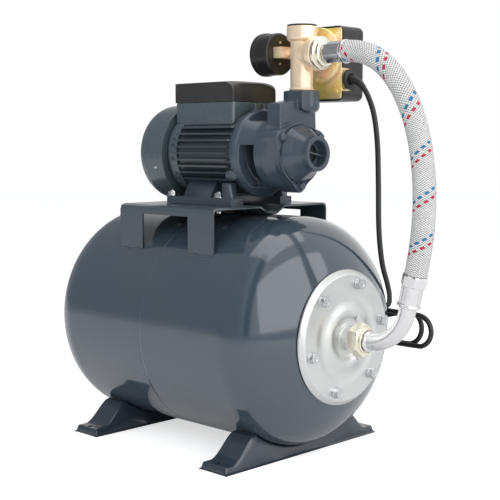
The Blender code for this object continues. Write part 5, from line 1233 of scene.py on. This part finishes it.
def build_pump_casing():
    """The casting: rim, lantern neck with its pocket and windows, lobed chamber, column and port boss."""
    lobes = three_lobes()
    inner = [(30.5, 128.0), (30.5, 112.0), (6.5, 112.0), (6.5, 98.0), (34.0, 98.0), (35.5, 78.3), (13.8, 78.3),
             (13.8, 76.3), (17.8, 76.3), (17.8, 66.6)]
    profile = [(52.5, 66.6, 0.6), (52.5, 74.5, 1.4), (49.5, 77.5, 1.6), (47.9, 80.5, 2.0), (43.7, 91.0, 4.0),
               (42.5, 96.0, 3.0), (at_least(42.5, lobes, 0.5), 104.0, 3.0), (at_least(41.5, lobes), 110.0, 2.0),
               (lobes, 122.0, 0), (lobes, 128.0, 0.8)] + [(radius, height, 0) for radius, height in inner]
    piece = turned("casing", profile, shaft_line, "cast_paint", "pump_casing", 144, closed=True)
    pocket = tool("pocket", lambda bm: block(bm, (77.0, 101.5), (-30.0, 30.0), (391.5, 417.0), set_frame, 2.5))
    work(piece, cuts=[pocket])

    def column(bm):
        slab(bm, COLUMN, 103.5, 124.5, shaft_line, 1.2)

    def ears(bm):
        for place in (-12.5, 1.0):
            block(bm, (67.5, 73.5), (place - 1.5, place + 1.5), (400.5, 413.0), set_frame, 0.8)

    lug_places = ((-52.0, 328.6), (52.0, 328.6))

    def lugs(bm):
        for y, z in lug_places:
            lathe(bm, [(0, 66.6), (6.0, 66.6, 0.6), (6.0, 74.5, 0.8), (0, 74.5)], at("X", 0, y, z), 32)
    boss = [(0, 45.0), (13.5, 46.0, 2.0), (19.5, 50.0, 2.0), (21.5, 54.0, 1.5), (21.5, 72.6, 1.0), (20.6, 73.5, 0.5),
            (0, 73.5)]

    def pad(bm):
        outline = [(4.0, 73.0), (4.0, 55.0)]
        outline += [(9.0 - 5.0 * cos(radians(a)), 55.0 - 5.0 * sin(radians(a))) for a in range(15, 105, 15)]
        outline += [(29.0 + 5.0 * sin(radians(a)), 55.0 - 5.0 * cos(radians(a))) for a in range(0, 90, 15)]
        outline += [(34.0, 55.0), (34.0, 73.0)]
        slab(bm, outline, 112.0, 132.0, shaft_line, 0.8)
    windows = []
    for side in (-1, 1):
        reach = sorted((side * 15.0, side * 66.0))
        windows.append(tool("window", lambda bm, reach=reach:
                            block(bm, (79.3, 97.0), reach, (315.0, 364.0), set_frame, 1.5)))
    joins = [tool("column", column), tool("ears", ears), tool("lugs", lugs), tool("pad", pad),
             solid("boss", boss, port_line, 96)]
    work(piece, joins, windows, then=casting_skin(0.8, 0.5))
    piece.data.shade_smooth()
    flats = polygon(8.5, 4.7)
    nut = [(0, 74.3), (flats, 74.3, 0.3), (flats, 77.8, 0.5), (2.4, 78.0, 0.2), (2.4, 79.6, 0.4), (0, 79.6)]
    for y, z in (*lug_places, (-13.0, 315.0)):
        turned("tie_nut", nut, at("X", 0, y, z), "motor_paint", sides=36, rounding=0.3, sharp=30)


def build_pump_cover():
    """Suction cover: lobed flange, faceted cone with creases and the round port."""
    lobes = three_lobes()
    edge = three_lobes(1.0)
    foot = polygon(65.0, 33.6, radians(18))
    facets = polygon(51.0, 27.2, radians(18))
    profile = [(lobes, 128.3, 0.4), (lobes, 132.4, 0.8), (edge, 133.5, 0.6), (36.4, 133.5, 0.6), (35.6, 131.4, 0.4),
               (34.0, 131.4, 0.4), (foot, 134.2, 0.8), (facets, 143.4, 0.6), (20.6, 152.6, 0.8),
               (20.4, 160.0, 0.6), (19.8, 161.0, 0.4), (15.9, 161.0, 0.3), (15.2, 160.4, 0.3), (14.7, 159.0, 0.3),
               (14.7, 149.0, 0.3), (10.5, 149.0, 0.3), (10.5, 146.0, 0.3), (15.5, 146.0, 0.3),
               (15.5, 140.0, 1.0), (26.0, 128.3, 0.3)]
    turned("cover", profile, shaft_line, "cast_paint", "suction_cover", 144, 0.4, closed=True, sharp=32)
    bm = bmesh.new()
    turn = shaft_line @ Matrix.Rotation(radians(-12), 4, "Z")
    slab(bm, [(-16.0, -1.0), (16.0, -1.0), (16.0, 1.0), (-16.0, 1.0)], 151.5, 154.5, turn, 0.4)
    settle("port_bar", bm, "cast_paint")
    head = polygon(8.5, 4.75)
    for k in range(3):
        angle = radians(30 + 120 * k)
        where = at("X", 0, COVER_BOLT_CIRCLE * cos(angle), SHAFT_HEIGHT + COVER_BOLT_CIRCLE * sin(angle))
        profile = [(0, 133.0), (5.6, 133.0), (5.6, 134.0, 0.3), (head, 134.1, 0.2), (head, 137.4, 0.4),
                   (3.6, 138.0, 0.3), (0, 138.0)]
        turned("cover_bolt", profile, where, "cast_paint", sides=36, rounding=0.3, sharp=30)


for build in (build_tank, build_flange, build_flange_bolts, build_air_valve, build_tank_nut, build_elbow,
              build_lower_ferrule, build_upper_ferrule, build_union, build_five_way, build_gauge,
              build_housing, build_switch, build_motor_stand, build_feet, build_motor_body, build_cover,
              build_foot_casting, build_box, build_lid, build_pump_casing, build_pump_cover):
    build()


# Finishes of the nodes that show their own solids

node_finishes = {
    "tank_paint": ("tank_shell",),
    "foot_paint": ("foot_front", "foot_rear"),
    "sheet_paint": ("pump_stand",),
    "motor_paint": ("motor_frame", "rear_shield", "fan_cover", "motor_foot", "terminal_box"),
    "cast_paint": ("pump_casing", "suction_cover"),
    "lid_plastic": ("terminal_lid",),
    "black_plastic": ("capacitor", "fan", "outlet_cap", "gauge_case", "gauge_needle", "switch_cover"),
    "rubber": ("tank_bladder", "air_valve_cap", "shaft_seal", "switch_gland", "check_valve_flap"),
    "galvanised": ("tank_flange",),
    "zinc": ("air_valve_pin", *(f"flange_bolt_{k}" for k in range(1, 7)), *(f"stand_bolt_{k}" for k in range(1, 5))),
    "chrome": ("hose_elbow", "hose_ferrule_lower", "hose_ferrule_upper"),
    "brass": ("five_way", "impeller", "air_valve"),
    "pale_brass": ("union_nut", "tank_nut"),
    "yellow_zinc": ("switch_base", "diaphragm_housing", "gauge_stem"),
    "steel": ("motor_shaft", "rotor", "bearing_front", "bearing_rear"),
    "winding": ("stator",),
    "dial": ("gauge_dial",),
    "lens": ("gauge_lens",),
}
for finish, names in node_finishes.items():
    for name in names:
        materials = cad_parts[name].data.materials
        materials.clear()
        materials.append(MATERIALS[finish])


# Floor, backdrop and light


def seen_rays(tree):
    """One for what the camera sees straight or through glass, and one for what it sees in a mirror."""
    rays = add(tree, "LightPath").outputs
    return maths(rays["Is Camera Ray"], "MAXIMUM", rays["Is Transmission Ray"]), rays["Is Glossy Ray"]


def build_floor():
    """Pale paper that takes the set's shadow and is lifted to white where it is seen."""
    mesh = bpy.data.meshes.new("floor")
    mesh.from_pydata([(-6, -6, 0), (6, -6, 0), (6, 6, 0), (-6, 6, 0)], [], [(0, 1, 2, 3)])
    material, tree, surface = new_material("floor_paper", {
        "Roughness": 0.8, "Specular IOR Level": 0.0, "Emission Color": (1, 1, 1, 1)})
    cloud = spread(noise(object_place(tree), 3.0), 0.3, 0.7)
    feed(surface["Base Color"], tint(cloud, (0.93, 0.93, 0.93), (0.915, 0.915, 0.915)))
    straight, mirrored = seen_rays(tree)
    feed(surface["Emission Strength"], maths(maths(straight, "*", 0.60), "+", maths(mirrored, "*", 0.05)))
    mesh.materials.append(material)
    put("floor", mesh)


def build_world():
    """White backdrop; mirrors see a dim room at the front left, and a narrow dark card at the front."""
    world = bpy.data.worlds.new("studio")
    bpy.context.scene.world = world
    world.use_nodes = True
    tree = world.node_tree
    background = tree.nodes["Background"].inputs
    x, y = add(tree, "SeparateXYZ", Vector=add(tree, "TexCoord").outputs["Generated"]).outputs[:2]

    def toward(to_x, to_y):
        return maths(maths(x, "*", to_x), "+", maths(y, "*", to_y))
    mirror = tint(spread(toward(-0.78, -0.62), -0.1, 0.45), (1.0, 1.0, 1.0), (0.28, 0.29, 0.31))
    beside_card = spread(maths(toward(0.87, 0.50), "ABSOLUTE"), 0.07, 0.13)
    card = maths(maths(1.0, "-", beside_card), "*", maths(y, "<", -0.2))
    mirror = tint(card, mirror, (0.05, 0.055, 0.06))
    straight, mirrored = seen_rays(tree)
    feed(background["Color"], tint(straight, tint(mirrored, (0.42, 0.43, 0.45), mirror), (1.0, 1.0, 1.0)))
    background["Strength"].default_value = 1.0


def lamp(name, place, target, wide, tall, power, mirrored=True):
    data = bpy.data.lights.new(name, "AREA")
    data.shape = "RECTANGLE"
    data.size = wide
    data.size_y = tall
    data.energy = power
    light = put(name, data)
    light.location = place
    light.rotation_euler = (Vector(target) - Vector(place)).to_track_quat("-Z", "Y").to_euler()
    light.visible_camera = False
    light.visible_glossy = mirrored


build_floor()
build_world()
lamp("main_softbox", (1.37, -0.11, 0.85), (0.1, 0.0, 0.2), 2.25, 1.5, 17.0)
lamp("side_fill", (-0.5, -1.6, 1.2), (0.0, 0.0, 0.2), 2.0, 1.6, 12.0, mirrored=False)
lamp("top_softbox", (0.0, 0.1, 1.9), (0.0, 0.0, 0.2), 1.4, 1.4, 8.0)

scene = bpy.context.scene
scene.view_settings.view_transform = "Standard"
